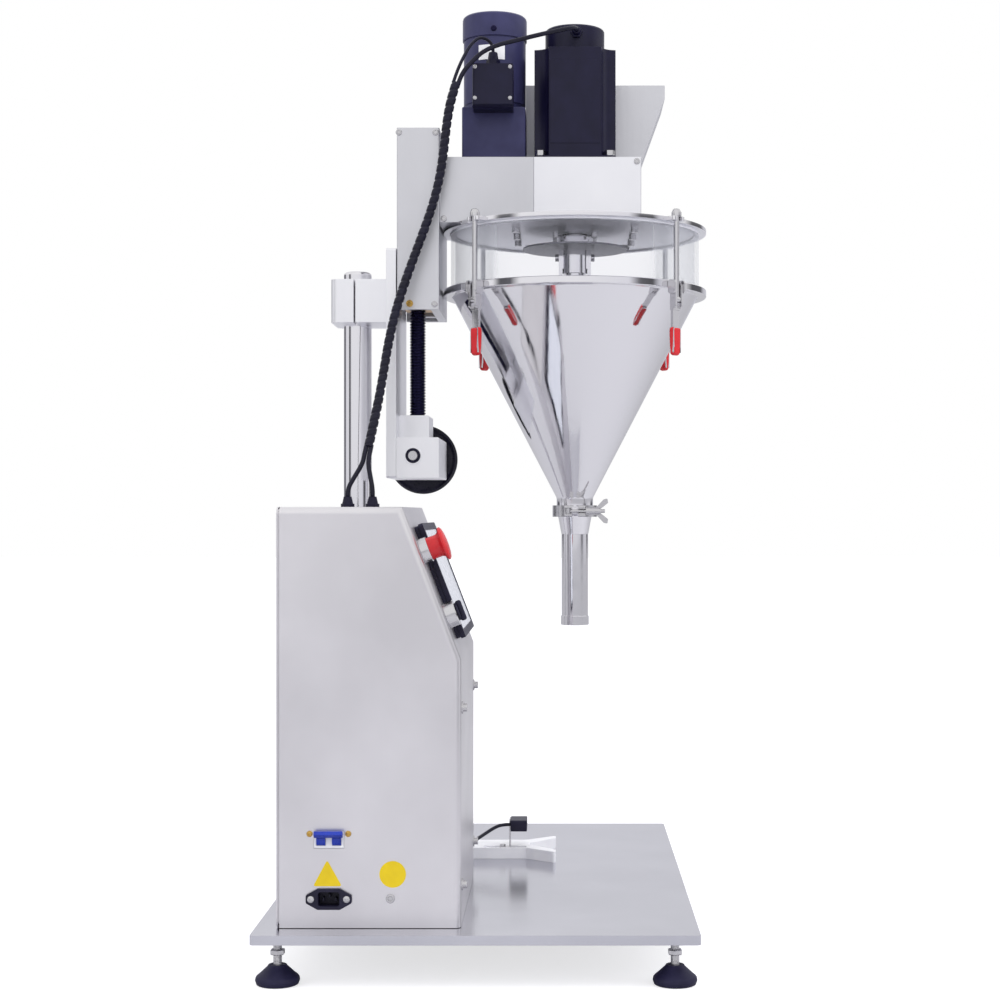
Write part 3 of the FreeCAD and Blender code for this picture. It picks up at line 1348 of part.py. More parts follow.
def auger_screw():
    """The auger: drive stem, core and the helical flight that runs down the nozzle."""
    top = HEAD_TOP - SLIDE_GAP
    stem_low = SLEEVE_BOTTOM - 20
    stem = upright(AUGER_STEM_R, MACHINE_X, AUGER_Y, stem_low, top)
    core = upright(AUGER_SHAFT_R, MACHINE_X, AUGER_Y, AUGER_BOTTOM, stem_low + 1)
    height = FLIGHT_TOP - AUGER_BOTTOM - FLIGHT_T
    spine = Part.makeHelix(FLIGHT_PITCH, height, FLIGHT_R)
    root = AUGER_SHAFT_R - 1
    half = FLIGHT_T / 2
    section = Part.makePolygon(
        [V(root, 0, -half), V(FLIGHT_R, 0, -half), V(FLIGHT_R, 0, half), V(root, 0, half), V(root, 0, -half)]
    )
    flight = Part.Wire(spine).makePipeShell([section], True, True)
    flight.translate(V(MACHINE_X, AUGER_Y, AUGER_BOTTOM + half))
    return joined([core, stem]).fuse(flight)


# ---------------------------------------------------------------- clasps
def clasp_brackets():
    """Ears of the four clasps, welded to the hopper's flange."""
    pieces = []
    half = CLASP_EAR_GAP / 2
    for n in range(CLASP_COUNT):
        ears = []
        for side in (-1, 1):
            y = around(AUGER_Y + side * (half + CLASP_EAR_T / 2), CLASP_EAR_T / 2)
            flank = box(
                (MACHINE_X + LID_R, MACHINE_X + CLASP_R + 7), y, around(CLASP_PIVOT_Z, 9)
            )
            ears.append(rounded(flank, 4, BACK))
        joined_ears = joined(ears)
        pin = rod(CLASP_PIN_R, V(MACHINE_X + CLASP_R, AUGER_Y - half - CLASP_EAR_T, CLASP_PIVOT_Z), BACK, 5.5)
        other = rod(CLASP_PIN_R, V(MACHINE_X + CLASP_R, AUGER_Y + half - 2.5, CLASP_PIVOT_Z), BACK, 5.5)
        pieces.append(at_clasp(joined([joined_ears, pin, other]), n))
    return pieces


def clasp_lever(number):
    """A forked lever with a flat handle: two cheeks on the pins, and the grip below."""
    half = CLASP_EAR_GAP / 2 - SLIDE_GAP
    x = MACHINE_X + CLASP_R
    cheeks = []
    for side in (-1, 1):
        y = around(AUGER_Y + side * (half - CLASP_LEVER_T / 2), CLASP_LEVER_T / 2)
        cheek = box((x - 5, x + 5), y, (CLASP_PIVOT_Z - CLASP_CRANK - 12, CLASP_PIVOT_Z + 5))
        cheek = rounded(cheek, 4, BACK)
        cheek = cheek.cut(rod(CLASP_PIN_R + SHAFT_PLAY, V(x, y[0] - 1, CLASP_PIVOT_Z), BACK, 5))
        link = V(x, y[0] - 1, CLASP_PIVOT_Z - CLASP_CRANK)
        cheek = cheek.cut(rod(CLASP_LINK_R + SHAFT_PLAY, link, BACK, 5))
        cheeks.append(cheek)
    q_z = CLASP_PIVOT_Z - CLASP_CRANK
    handle_top = q_z - 8
    bridge = box((x - 5, x + 1), around(AUGER_Y, half), (handle_top - 6, handle_top - 1))
    handle = box(
        (x - 4.5, x - 0.5), around(AUGER_Y, CLASP_HANDLE_W / 2), (CLASP_GRIP_TOP - 4, handle_top)
    )
    grip_half = CLASP_HANDLE_W / 2 + 1
    grip = box((x - 6.5, x + 1.5), around(AUGER_Y, grip_half), (CLASP_LEVER_END, CLASP_GRIP_TOP))
    grip = rounded(grip, 4, RIGHT)
    return at_clasp(joined(cheeks + [bridge, handle, grip]), number)


def clasp_rod(number):
    """The pull rod: cross pin in the lever's cheeks, stem and acorn nut over the lid's ear."""
    x = MACHINE_X + CLASP_R
    q_z = CLASP_PIVOT_Z - CLASP_CRANK
    inner = CLASP_EAR_GAP / 2 - SLIDE_GAP - CLASP_LEVER_T
    eye = rod(4.5, V(x, AUGER_Y - inner + SLIDE_GAP, q_z), BACK, 2 * (inner - SLIDE_GAP))
    reach = CLASP_EAR_GAP / 2 - SLIDE_GAP
    link = rod(CLASP_LINK_R, V(x, AUGER_Y - reach, q_z), BACK, 2 * reach)
    stem = upright(CLASP_ROD_R, x, AUGER_Y, q_z, CLASP_ROD_TOP)
    seat = LID_TOP + SEAT_GAP
    nut = [
        (0, seat),
        (CLASP_NUT_R, seat),
        (CLASP_NUT_R, seat + CLASP_NUT_H - 4),
        (CLASP_NUT_R - 2, seat + CLASP_NUT_H),
        (0, seat + CLASP_NUT_H + 1.5),
    ]
    return at_clasp(joined([eye, link, stem, turned(nut, x, AUGER_Y)]), number)


# ---------------------------------------------------------------- bag support
def bag_fork():
    """The plastic support under the nozzle: a bar that opens into two prongs."""
    z = (BASE_TOP, BASE_TOP + FORK_T)
    half = FORK_W / 2
    spread = FORK_SPREAD / 2
    rear = BASE_Y + FORK_BACK
    throat = BASE_Y - FORK_THROAT
    tip = BASE_Y - FORK_TIP
    outline = [
        V(FORK_X - half, rear, z[0]),
        V(FORK_X + half, rear, z[0]),
        V(FORK_X + half, throat + 4, z[0]),
        V(FORK_X + spread, tip, z[0]),
        V(FORK_X + spread - 18, tip, z[0]),
        V(FORK_X + 6, throat, z[0]),
        V(FORK_X - 6, throat, z[0]),
        V(FORK_X - spread + 18, tip, z[0]),
        V(FORK_X - spread, tip, z[0]),
        V(FORK_X - half, throat + 4, z[0]),
    ]
    fork = rounded(prism(outline, V(0, 0, FORK_T)), 3, UP)
    track = box(
        around(track_x(), TRACK_W / 2),
        (BASE_Y - TRACK_FRONT, BASE_Y + TRACK_BACK),
        (z[1] - TRACK_DEPTH, z[1] + 1),
    )
    return fork.cut(track)


def track_x():
    return FORK_X - TRACK_LEFT


def sensor_bracket():
    """The slide foot in the fork's track with the bent strip that holds the sensor."""
    low = BASE_TOP + FORK_T - TRACK_DEPTH
    y = around(BASE_Y - TRACK_FRONT / 2 + TRACK_BACK / 2, BRACKET_FOOT / 2)
    foot = box(around(track_x(), TRACK_W / 2 - SHAFT_PLAY), y, (low + SHAFT_PLAY, BASE_TOP + FORK_T))
    strip_x = around(track_x(), TRACK_W / 2 - 1)
    post = box(strip_x, (y[0], y[0] + BRACKET_T), (BASE_TOP + FORK_T - 1, SENSOR_Z + SENSOR_H))
    shelf = box(
        (strip_x[0], track_x() + 16), (y[0], y[0] + BRACKET_T), (SENSOR_Z + 2, SENSOR_Z + SENSOR_H)
    )
    nut = hexagon(7, V(track_x(), y[1] - 5, BASE_TOP + FORK_T - 0.5), UP, 4)
    return joined([foot, post, shelf, nut])


def photo_sensor():
    """The small plastic photo sensor screwed to the bracket's strip."""
    y0 = sensor_bracket_face()
    x = around(track_x() + 2, SENSOR_LENGTH / 2)
    body = box(x, (y0 - SENSOR_W, y0), (SENSOR_Z, SENSOR_Z + SENSOR_H))
    return rounded(body, 2, FRONT)


def sensor_bracket_face():
    return BASE_Y - TRACK_FRONT / 2 + TRACK_BACK / 2 - BRACKET_FOOT / 2


# ---------------------------------------------------------------- cables
def tube_path(points):
    """Straight runs joined by tangent arcs, each as large as its two runs allow."""
    edges = []
    start = points[0]
    radii = []
    for before, corner, after in zip(points, points[1:], points[2:]):
        a = corner - before
        b = after - corner
        turn = a.getAngle(b)
        cut = 0.45 * min(a.Length, b.Length)
        radii.append(cut / math.tan(turn / 2))
        a.normalize()
        b.normalize()
        first = corner - a * cut
        last = corner + b * cut
        middle = corner + (b - a).normalize() * bulge(cut, turn)
        edges.append(Part.LineSegment(start, first).toShape())
        edges.append(Part.Arc(first, middle, last).toShape())
        start = last
    edges.append(Part.LineSegment(start, points[-1]).toShape())
    return Part.Wire(edges), radii


def bulge(cut, turn):
    """How far the arc's middle lies inside its corner."""
    radius = cut / math.tan(turn / 2)
    return radius / math.cos(turn / 2) - radius


def cable(name, points, radius):
    path, radii = tube_path(points)
    direction = points[1] - points[0]
    circle = Part.Wire(Part.Circle(points[0], direction, radius).toShape())
    tube = path.makePipeShell([circle], True, False)
    expected = math.pi * radius * radius * path.Length
    print(name, "length", round(path.Length), "tightest", round(min(radii)), "volume", tube.Volume / expected)
    return tube


def from_base(points):
    return [V(x, BASE_Y + y, z) for x, y, z in points]


BUNDLE_ROUTE = [
    (29, 43.5, 1096),
    (26, 50, 1074),
    (24, 54.5, 1050),
    (22, 57.5, 1024),
    (21, 60.5, 996),
    (20, 65, 967),
    (19, 73, 935),
    (17, 84, 902),
    (13, 97, 866),
    (7, 110, 828),
    (-2, 121, 790),
    (-12, 129, 750),
    (-24, 134, 712),
    (-37, 139, 675),
    (-50, 145, 640),
    (-60, 150, 612),
]
AUGER_LEAD_ROUTE = [
    (54, -106, 1174.5),
    (47, -84, 1168),
    (43, -60, 1161.5),
    (41, -36, 1155),
    (40, -12, 1149),
    (38.5, 8, 1140),
    (36.5, 22, 1127),
]
GEAR_LEAD_ROUTE = [
    (60, 3, 1161),
    (51, 14, 1162),
    (44, 25, 1150),
    (39, 32, 1137),
]
TAIL_ROUTES = [
    [(-67, 157, 590), (-75, 167, 572)],
    [(-67, 150, 590), (-76, 146, 572)],
]
SENSOR_ROUTE = [
    (74, -5, 104),
    (62, 8, 97),
    (42, 20, 92),
    (20, 33, 86),
    (4, 50, 80),
]


def bundle_ends():
    """The bundle's two ends, the way it runs there, and the side the leads lie apart."""
    route = from_base(BUNDLE_ROUTE)
    ends = []
    for place, way in ((route[0], route[1] - route[0]), (route[-1], route[-1] - route[-2])):
        way = way / way.Length
        side = BACK - way * BACK.dot(way)
        ends.append((place, way, side / side.Length))
    return ends


def motor_cables():
    """Both motors' leads, the wrapped bundle they join, and its two tails to the cabinet."""
    (start, start_way, start_side), (end, end_way, end_side) = bundle_ends()
    auger_exit = auger_gland() + LEFT * GLAND_H
    gear_exit = terminal_gland() + UP * TERMINAL_GLAND_H
    auger_end = start - start_side * (BUNDLE_R - LEAD_R - 0.1)
    gear_end = start + start_side * (BUNDLE_R - THIN_LEAD_R - 0.4)
    auger_route = [auger_exit, auger_exit + LEFT * 11] + from_base(AUGER_LEAD_ROUTE)
    auger_route += [auger_end - start_way * 14, auger_end]
    gear_route = [gear_exit, gear_exit + UP * 9] + from_base(GEAR_LEAD_ROUTE)
    gear_route += [gear_end - start_way * 17, gear_end]
    tubes = [
        cable("bundle", from_base(BUNDLE_ROUTE), BUNDLE_R),
        cable("auger motor lead", auger_route, LEAD_R),
        cable("gear motor lead", gear_route, THIN_LEAD_R),
    ]
    glands = gland_places()
    for side, (seat, way), middle in zip((1, -1), glands, TAIL_ROUTES):
        first = end + end_side * side * (BUNDLE_R - LEAD_R - 0.1)
        top = seat + way * GLAND_H
        route = [first, first + end_way * 11] + from_base(middle) + [top + way * 10, top]
        tubes.append(cable("cabinet tail", route, LEAD_R))
    return tubes


def sensor_cable():
    seat, way = gland_places()[2]
    exit_at = V(track_x() - SENSOR_LENGTH / 2 + 7, sensor_bracket_face(), SENSOR_Z + 9)
    end = seat + way * GLAND_H
    route = [exit_at, exit_at + BACK * 11] + from_base(SENSOR_ROUTE) + [end + way * 11, end]
    return cable("sensor cable", route, SENSOR_LEAD_R)


def build():
    os.makedirs("parts", exist_ok=True)
    save("base_plate", [base_plate()])
    for name, (x, y) in foot_places().items():
        save(name, [levelling_foot(x, y)])
    save("cabinet_shell", [cabinet_shell()])
    save("cabinet_rear_cover", [cabinet_rear_cover()])
    save("cable_glands", [cable_gland(seat, way) for seat, way in gland_places()])
    save("control_modules", control_modules())
    save("touch_panel_case", [touch_panel_case()])
    save("touch_panel_screen", [touch_panel_screen()])
    save("button_collars", button_collars())
    save("estop_button", [estop_button()])
    save("selector_knob", [selector_knob()])
    save("breaker_body", [breaker_body()])
    save("breaker_toggle", [breaker_toggle()])
    save("power_inlet", [power_inlet()])
    save("column", [column()])
    save("column_clamp", column_clamp())
    save("frame_screws", frame_screws())
    save("lift_back_plate", [lift_back_plate()] + guide_blocks())
    save("guide_rails", guide_rails())
    save("lift_gearbox", lift_gearbox())
    save("cross_shaft", [cross_shaft()])
    save("handwheel", [handwheel()])
    save("crank_grip", [crank_grip()])
    save("lead_screw", [lead_screw()])
    save("carriage", [carriage()])
    save("lift_nut", [lift_nut()])
    save("head_housing", [head_housing()])
    save("gear_motor", [gear_motor()])
    save("terminal_box", [terminal_box()])
    save("auger_motor", [auger_motor()])
    save("head_screws", head_screws())
    save("hopper_lid", [hopper_lid()])
    save("hopper_ring", [hopper_ring(), turned(lid_gasket_outline(), MACHINE_X, AUGER_Y)])
    save("hopper_cone", [hopper_cone()])
    save("nozzle_tube", [nozzle_tube()])
    save("outlet_clamp", outlet_clamp())
    save("swing_bolt", [swing_bolt()])
    save("wing_nut", [wing_nut()])
    save("feed_chute", [feed_chute()])
    save("agitator", [agitator()])
    save("motor_pulley", [motor_pulley()])
    save("drive_belt", [drive_belt()])
    save("auger_screw", [auger_screw()])
    save("clasp_brackets", clasp_brackets())
    for n in range(CLASP_COUNT):
        save("clasp_lever_" + str(n + 1), [clasp_lever(n)])
        save("clasp_rod_" + str(n + 1), [clasp_rod(n)])
    save("bag_fork", [bag_fork()])
    save("sensor_bracket", [sensor_bracket()])
    save("photo_sensor", [photo_sensor()])
    save("motor_cables", motor_cables())
    save("sensor_cable", [sensor_cable()])


build()
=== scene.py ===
import json
import math

import bpy
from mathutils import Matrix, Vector
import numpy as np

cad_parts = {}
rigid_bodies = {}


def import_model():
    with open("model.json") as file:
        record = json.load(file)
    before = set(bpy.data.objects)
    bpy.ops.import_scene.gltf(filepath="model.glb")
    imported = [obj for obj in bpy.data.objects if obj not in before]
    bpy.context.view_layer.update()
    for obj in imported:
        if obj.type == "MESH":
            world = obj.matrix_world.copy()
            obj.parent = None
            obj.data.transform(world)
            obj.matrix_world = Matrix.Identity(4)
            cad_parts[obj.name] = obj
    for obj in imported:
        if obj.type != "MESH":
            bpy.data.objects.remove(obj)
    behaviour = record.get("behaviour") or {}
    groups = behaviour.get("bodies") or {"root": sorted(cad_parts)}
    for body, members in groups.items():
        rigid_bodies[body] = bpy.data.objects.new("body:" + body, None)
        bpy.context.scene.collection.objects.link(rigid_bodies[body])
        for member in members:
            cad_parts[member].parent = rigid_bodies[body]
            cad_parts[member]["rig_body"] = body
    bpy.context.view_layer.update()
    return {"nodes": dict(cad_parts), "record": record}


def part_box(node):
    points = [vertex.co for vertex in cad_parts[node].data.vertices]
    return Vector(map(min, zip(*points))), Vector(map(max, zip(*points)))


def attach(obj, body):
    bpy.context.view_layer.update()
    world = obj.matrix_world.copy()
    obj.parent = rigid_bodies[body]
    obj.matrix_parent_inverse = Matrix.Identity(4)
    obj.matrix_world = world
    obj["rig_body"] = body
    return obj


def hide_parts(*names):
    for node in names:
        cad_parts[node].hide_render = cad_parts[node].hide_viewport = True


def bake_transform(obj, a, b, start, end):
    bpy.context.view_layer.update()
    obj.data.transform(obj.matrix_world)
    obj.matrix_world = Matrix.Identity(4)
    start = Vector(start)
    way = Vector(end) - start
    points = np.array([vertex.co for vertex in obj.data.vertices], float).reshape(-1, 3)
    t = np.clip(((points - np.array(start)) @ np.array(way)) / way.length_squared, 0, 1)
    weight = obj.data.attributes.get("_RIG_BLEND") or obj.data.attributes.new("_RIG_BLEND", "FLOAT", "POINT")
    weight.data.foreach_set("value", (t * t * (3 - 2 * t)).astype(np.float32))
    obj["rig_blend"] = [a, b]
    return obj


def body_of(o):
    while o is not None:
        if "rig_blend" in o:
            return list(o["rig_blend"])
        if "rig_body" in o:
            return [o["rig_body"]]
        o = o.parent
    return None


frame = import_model()
nodes = frame["nodes"]

MM = 0.001
BASE_MIDDLE_Y = 22.0
AXIS_X = 129.0
AUGER_Y = -92.0
GEAR_Y = 18.0


# ------------------------------------------------------------------ camera
def from_base(x, y, z):
    """A point in metres, from millimetres measured from the middle of the base."""
    return Vector((x, BASE_MIDDLE_Y + y, z)) * MM


camera_data = bpy.data.cameras.new("camera")
camera_data.lens = 67.3
camera_data.sensor_width = 36.0
camera_data.shift_x = -0.0605
camera_data.shift_y = 0.014
camera = bpy.data.objects.new("camera", camera_data)
camera.location = (-2.441, -0.0723, 0.526)
camera.rotation_euler = (math.radians(90), 0, math.radians(-90))
bpy.context.scene.collection.objects.link(camera)
bpy.context.scene.camera = camera


# ------------------------------------------------------------------ cords
# Control points of each cable's line, in millimetres from the middle of the base.
BUNDLE_ROUTE = [
    (29, 43.5, 1096),
    (26, 50, 1074),
    (24, 54.5, 1050),
    (22, 57.5, 1024),
    (21, 60.5, 996),
    (20, 65, 967),
    (19, 73, 935),
    (17, 84, 902),
    (13, 97, 866),
    (7, 110, 828),
    (-2, 121, 790),
    (-12, 129, 750),
    (-24, 134, 712),
    (-37, 139, 675),
    (-50, 145, 640),
    (-60, 150, 612),
]
AUGER_LEAD_ROUTE = [
    (75.5, -116, 1178),
    (64.5, -116, 1178),
    (54, -106, 1174.5),
    (47, -84, 1168),
    (43, -60, 1161.5),
    (41, -36, 1155),
    (40, -12, 1149),
    (38.5, 8, 1140),
    (36.5, 22, 1127),
    (30.7, 36.6, 1108.4),
    (28.9, 40.5, 1095.1),
]
GEAR_LEAD_ROUTE = [
    (64, -4, 1144),
    (64, -4, 1153),
    (60, 3, 1161),
    (51, 14, 1162),
    (44, 25, 1150),
    (39, 32, 1137),
    (31.3, 42.2, 1113.2),
    (29.1, 47, 1097),
]
NEAR_TAIL_ROUTE = [
    (-59.8, 153.1, 612.5),
    (-63.5, 154.9, 602.3),
    (-67, 157, 590),
    (-75, 167, 572),
    (-80, 174.5, 558),
    (-80, 174.5, 548),
]
FAR_TAIL_ROUTE = [
    (-60.2, 146.9, 611.5),
    (-63.8, 148.8, 601.3),
    (-67, 150, 590),
    (-76, 146, 572),
    (-80, 143, 558),
    (-80, 143, 548),
]
SENSOR_ROUTE = [
    (82, -27, 107),
    (82, -16, 107),
    (74, -5, 104),
    (62, 8, 97),
    (42, 20, 92),
    (20, 33, 86),
    (4, 50, 80),
    (-5, 62, 78),
    (-16, 62, 78),
]
BUNDLE_R = 6.2
LEAD_R = 3.0
THIN_LEAD_R = 2.2
SENSOR_LEAD_R = 2.3
WRAP_PITCH = 11.0
WRAP_BAND = 0.8


def spline_points(name, route):
    """Even points along the smooth curve that a route controls, in metres, and its length."""
    curve = bpy.data.curves.new(name, "CURVE")
    curve.dimensions = "3D"
    curve.resolution_u = 24
    spline = curve.splines.new("NURBS")
    spline.points.add(len(route) - 1)
    for point, (x, y, z) in zip(spline.points, route):
        point.co = (*from_base(x, y, z), 1)
    spline.order_u = 3
    spline.use_endpoint_u = True
    holder = bpy.data.objects.new(name, curve)
    mesh = bpy.data.meshes.new_from_object(holder)
    line = [v.co.copy() for v in mesh.vertices]
    bpy.data.objects.remove(holder)
    bpy.data.curves.remove(curve)
    bpy.data.meshes.remove(mesh)
    length = sum((b - a).length for a, b in zip(line, line[1:]))
    return line, length


def evenly(line, step):
    """Points a constant step apart along a line of points."""
    out = [line[0].copy()]
    carried = 0.0
    for a, b in zip(line, line[1:]):
        span = (b - a).length
        at = step - carried
        while at < span:
            out.append(a.lerp(b, at / span))
            at += step
        carried = span - (at - step)
    if (out[-1] - line[-1]).length > step * 0.4:
        out.append(line[-1].copy())
    else:
        out[-1] = line[-1].copy()
    return out


def tube_mesh(name, line, radius_at, sides, step):
    """A closed tube round a line; radius_at gives its radius at a distance and a turn."""
    points = evenly(line, step)
    way = (points[1] - points[0]).normalized()
    side = way.orthogonal().normalized()
    verts = []
    travelled = 0.0
    for i, point in enumerate(points):
        if i:
            travelled += (point - points[i - 1]).length
        ahead = points[min(i + 1, len(points) - 1)] - points[max(i - 1, 0)]
        turn = way.rotation_difference(ahead.normalized())
        side = (turn @ side).normalized()
        way = ahead.normalized()
        other = way.cross(side)
        for k in range(sides):
            angle = 2 * math.pi * k / sides
            radius = radius_at(travelled, k / sides)
            verts.append(point + (side * math.cos(angle) + other * math.sin(angle)) * radius)
    faces = []
    for i in range(len(points) - 1):
        for k in range(sides):
            a, b = i * sides + k, i * sides + (k + 1) % sides
            faces.append((a, b, b + sides, a + sides))
    faces.append(tuple(reversed(range(sides))))
    faces.append(tuple(range(len(verts) - sides, len(verts))))
    mesh = bpy.data.meshes.new(name)
    mesh.from_pydata(verts, [], faces)
    mesh.polygons.foreach_set("use_smooth", [True] * len(mesh.polygons))
    tube = bpy.data.objects.new(name, mesh)
    bpy.context.scene.collection.objects.link(tube)
    return tube


def wrapped_radius(distance, turn):
    """The wrapped bundle: a flat band wound in a spiral, with a groove between its turns."""
    phase = (distance / (WRAP_PITCH * MM) - turn) % 1.0
    edge = min(phase, WRAP_BAND - phase) * WRAP_PITCH / 0.9
    if phase > WRAP_BAND:
        edge = 0.0
    swell = 0.25 * math.sin(distance / 0.037) + 0.15 * math.sin(distance / 0.0141)
    return (BUNDLE_R - 1.3 + 1.1 * min(1.0, max(0.0, edge)) + swell * 0.4) * MM


def lead(name, route, radius):
    line, length = spline_points(name, route)
    tube = tube_mesh(name, line, lambda distance, turn: radius * MM, 14, 1.6 * MM)
    return tube, line, length


bundle_line, bundle_length = spline_points("wrapped_cable_bundle", BUNDLE_ROUTE)
bundle = tube_mesh("wrapped_cable_bundle", bundle_line, wrapped_radius, 28, 0.8 * MM)
auger_lead, auger_line, auger_length = lead("auger_motor_lead", AUGER_LEAD_ROUTE, LEAD_R)
gear_lead, gear_line, gear_length = lead("gear_motor_lead", GEAR_LEAD_ROUTE, THIN_LEAD_R)
near_tail, near_line, near_length = lead("cabinet_lead_near", NEAR_TAIL_ROUTE, LEAD_R)
far_tail, far_line, far_length = lead("cabinet_lead_far", FAR_TAIL_ROUTE, LEAD_R)
sensor_lead, sensor_line, sensor_length = lead("sensor_lead", SENSOR_ROUTE, SENSOR_LEAD_R)
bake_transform(bundle, "frame", "head", start=bundle_line[-1], end=bundle_line[0])
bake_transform(sensor_lead, "frame", "sensor", start=sensor_line[-1], end=sensor_line[0])
for piece, body in ((auger_lead, "head"), (gear_lead, "head"), (near_tail, "frame"), (far_tail, "frame")):
    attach(piece, body)
    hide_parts("motor_cables")
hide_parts("motor_cables")
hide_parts("sensor_cable")


# ------------------------------------------------------------------ materials
def linear(code):
    """An sRGB hex colour as the linear values that shaders take."""
    parts = [int(code[i:i + 2], 16) / 255 for i in (0, 2, 4)]
    return (*[c / 12.92 if c <= 0.04045 else ((c + 0.055) / 1.055) ** 2.4 for c in parts], 1.0)


def add(tree, kind, values=None, links=None, **settings):
    """Adds a node, sets its properties and its sockets' values, and links its inputs."""
    node = tree.nodes.new("ShaderNode" + kind)
    for name, value in settings.items():
        setattr(node, name, value)
    for socket, value in (values or {}).items():
        node.inputs[socket].default_value = value
    for socket, source in (links or {}).items():
        tree.links.new(source, node.inputs[socket])
    return node


def surface(name, colour, metallic=0.0, roughness=0.5, **sockets):
    """A named material with its Principled shader set; returns the material, tree and shader."""
    material = bpy.data.materials.new(name)
    material.use_nodes = True
    tree = material.node_tree
    shader = tree.nodes["Principled BSDF"]
    shader.inputs["Base Color"].default_value = linear(colour)
    shader.inputs["Metallic"].default_value = metallic
    shader.inputs["Roughness"].default_value = roughness
    for socket, value in sockets.items():
        shader.inputs[socket.replace("_", " ")].default_value = value
    return material, tree, shader


def pattern(tree, per_metre, detail=2.0, roughness=0.5):
    """Noise on Object coordinates; per_metre is how many blotches fit in a metre on each axis."""
    place = add(tree, "TexCoord")
    mapped = add(tree, "Mapping", {"Scale": per_metre}, {"Vector": place.outputs["Object"]})
    values = {"Scale": 1.0, "Detail": detail, "Roughness": roughness}
    noise = add(tree, "TexNoise", values, {"Vector": mapped.outputs["Vector"]})
    return noise.outputs["Fac"]


def spread(tree, shader, socket, source, low, high):
    """Drives a shader socket between two values by a pattern."""
    ranged = add(tree, "MapRange", {"From Min": 0.3, "From Max": 0.7, "To Min": low, "To Max": high},
                 {"Value": source})
    tree.links.new(ranged.outputs["Result"], shader.inputs[socket])


def tint(tree, shader, source, dark, light):
    """Varies the base colour between two hex colours by a pattern."""
    ranged = add(tree, "MapRange", {"From Min": 0.3, "From Max": 0.7}, {"Value": source})
    mixed = add(tree, "Mix", {6: linear(dark), 7: linear(light)}, {0: ranged.outputs["Result"]},
                data_type="RGBA")
    tree.links.new(mixed.outputs[2], shader.inputs["Base Color"])


def relief(tree, shader, source, strength, depth):
    """Bump from a pattern; depth is its height in millimetres."""
    bump = add(tree, "Bump", {"Strength": strength, "Distance": depth * MM}, {"Height": source})
    tree.links.new(bump.outputs["Normal"], shader.inputs["Normal"])


def brushed_stainless(name, grain, dark="DAD8DC", light="E8E6EA", low=0.30, high=0.40, depth=0.12):
    """304 stainless sheet with a belt-brushed satin finish: soft streaks along the grain.
    The scratches of 0.1 mm are drawn about 0.7 mm wide, so that they show."""
    material, tree, shader = surface(name, light, 1.0, 0.34)
    scale = {"x": (9, 1400, 1400), "y": (1400, 9, 1400), "z": (1400, 1400, 9)}[grain]
    streaks = pattern(tree, scale, 3.0, 0.6)
    clouds = pattern(tree, (7, 7, 7), 3.0)
    tint(tree, shader, clouds, dark, light)
    spread(tree, shader, "Roughness", streaks, low, high)
    relief(tree, shader, streaks, depth, 0.05)
    return material


def polished_stainless(name, colour="E4E3E7", low=0.05, high=0.12):
    """304 stainless buffed to a mirror: clear reflections, faintly uneven where it was buffed."""
    material, tree, shader = surface(name, colour, 1.0, 0.07)
    swirls = pattern(tree, (60, 60, 60), 3.0)
    spread(tree, shader, "Roughness", swirls, low, high)
    relief(tree, shader, pattern(tree, (14, 14, 14), 1.0), 0.08, 0.4)
    return material


def turned_steel(name, colour="C8C7CA", roughness=0.22):
    """Turned and zinc-plated or stainless steel: bright, with fine rings round each part."""
    material, tree, shader = surface(name, colour, 1.0, roughness)
    rings = pattern(tree, (900, 900, 900), 2.0)
    spread(tree, shader, "Roughness", rings, roughness - 0.06, roughness + 0.08)
    relief(tree, shader, rings, 0.05, 0.05)
    return material


def anodised_aluminium(name, colour="F6F6FA"):
    """Bead-blasted and clear-anodised aluminium: pale, even and softly shining."""
    material, tree, shader = surface(name, colour, 1.0, 0.38)
    blast = pattern(tree, (1500, 1500, 1500), 2.0)
    spread(tree, shader, "Roughness", blast, 0.34, 0.44)
    relief(tree, shader, blast, 0.08, 0.03)
    return material


def satin_paint(name, dark, light, roughness=0.38):
    """Stoved motor paint with a light orange peel, about 2 mm from crest to crest."""
    material, tree, shader = surface(name, light, 0.0, roughness, Specular_IOR_Level=0.3)
    tint(tree, shader, pattern(tree, (40, 40, 40), 2.0), dark, light)
    relief(tree, shader, pattern(tree, (480, 480, 480), 2.0), 0.12, 0.12)
    return material


def moulded_plastic(name, dark, light, roughness=0.42, grit=900, depth=0.06, shine=0.5):
    """Injection-moulded plastic: fine even grain from the tool's spark-eroded face."""
    material, tree, shader = surface(name, light, 0.0, roughness, Specular_IOR_Level=shine)
    tint(tree, shader, pattern(tree, (50, 50, 50), 2.0), dark, light)
    grain = pattern(tree, (grit, grit, grit), 2.0)
    spread(tree, shader, "Roughness", grain, roughness - 0.06, roughness + 0.1)
    relief(tree, shader, grain, 0.25, depth)
    return material


def clear_acrylic(name):
    """Cast acrylic tube: clear, with polished faces that only mirror at a slant."""
    material, tree, shader = surface(name, "F4F7FB", 0.0, 0.02, IOR=1.49)
    haze = pattern(tree, (30, 30, 30), 2.0)
    spread(tree, shader, "Roughness", haze, 0.0, 0.03)
    clear = add(tree, "BsdfTransparent", {"Color": linear("FDFDFE")})
    slant = add(tree, "Fresnel", {"IOR": 1.49})
    share = add(tree, "MapRange", {"From Max": 0.6, "To Min": 0.01, "To Max": 0.28},
                {"Value": slant.outputs["Fac"]})
    mixed = add(tree, "MixShader", None,
                {0: share.outputs["Result"], 1: clear.outputs[0], 2: shader.outputs[0]})
    tree.links.new(mixed.outputs[0], tree.nodes["Material Output"].inputs["Surface"])
    return material


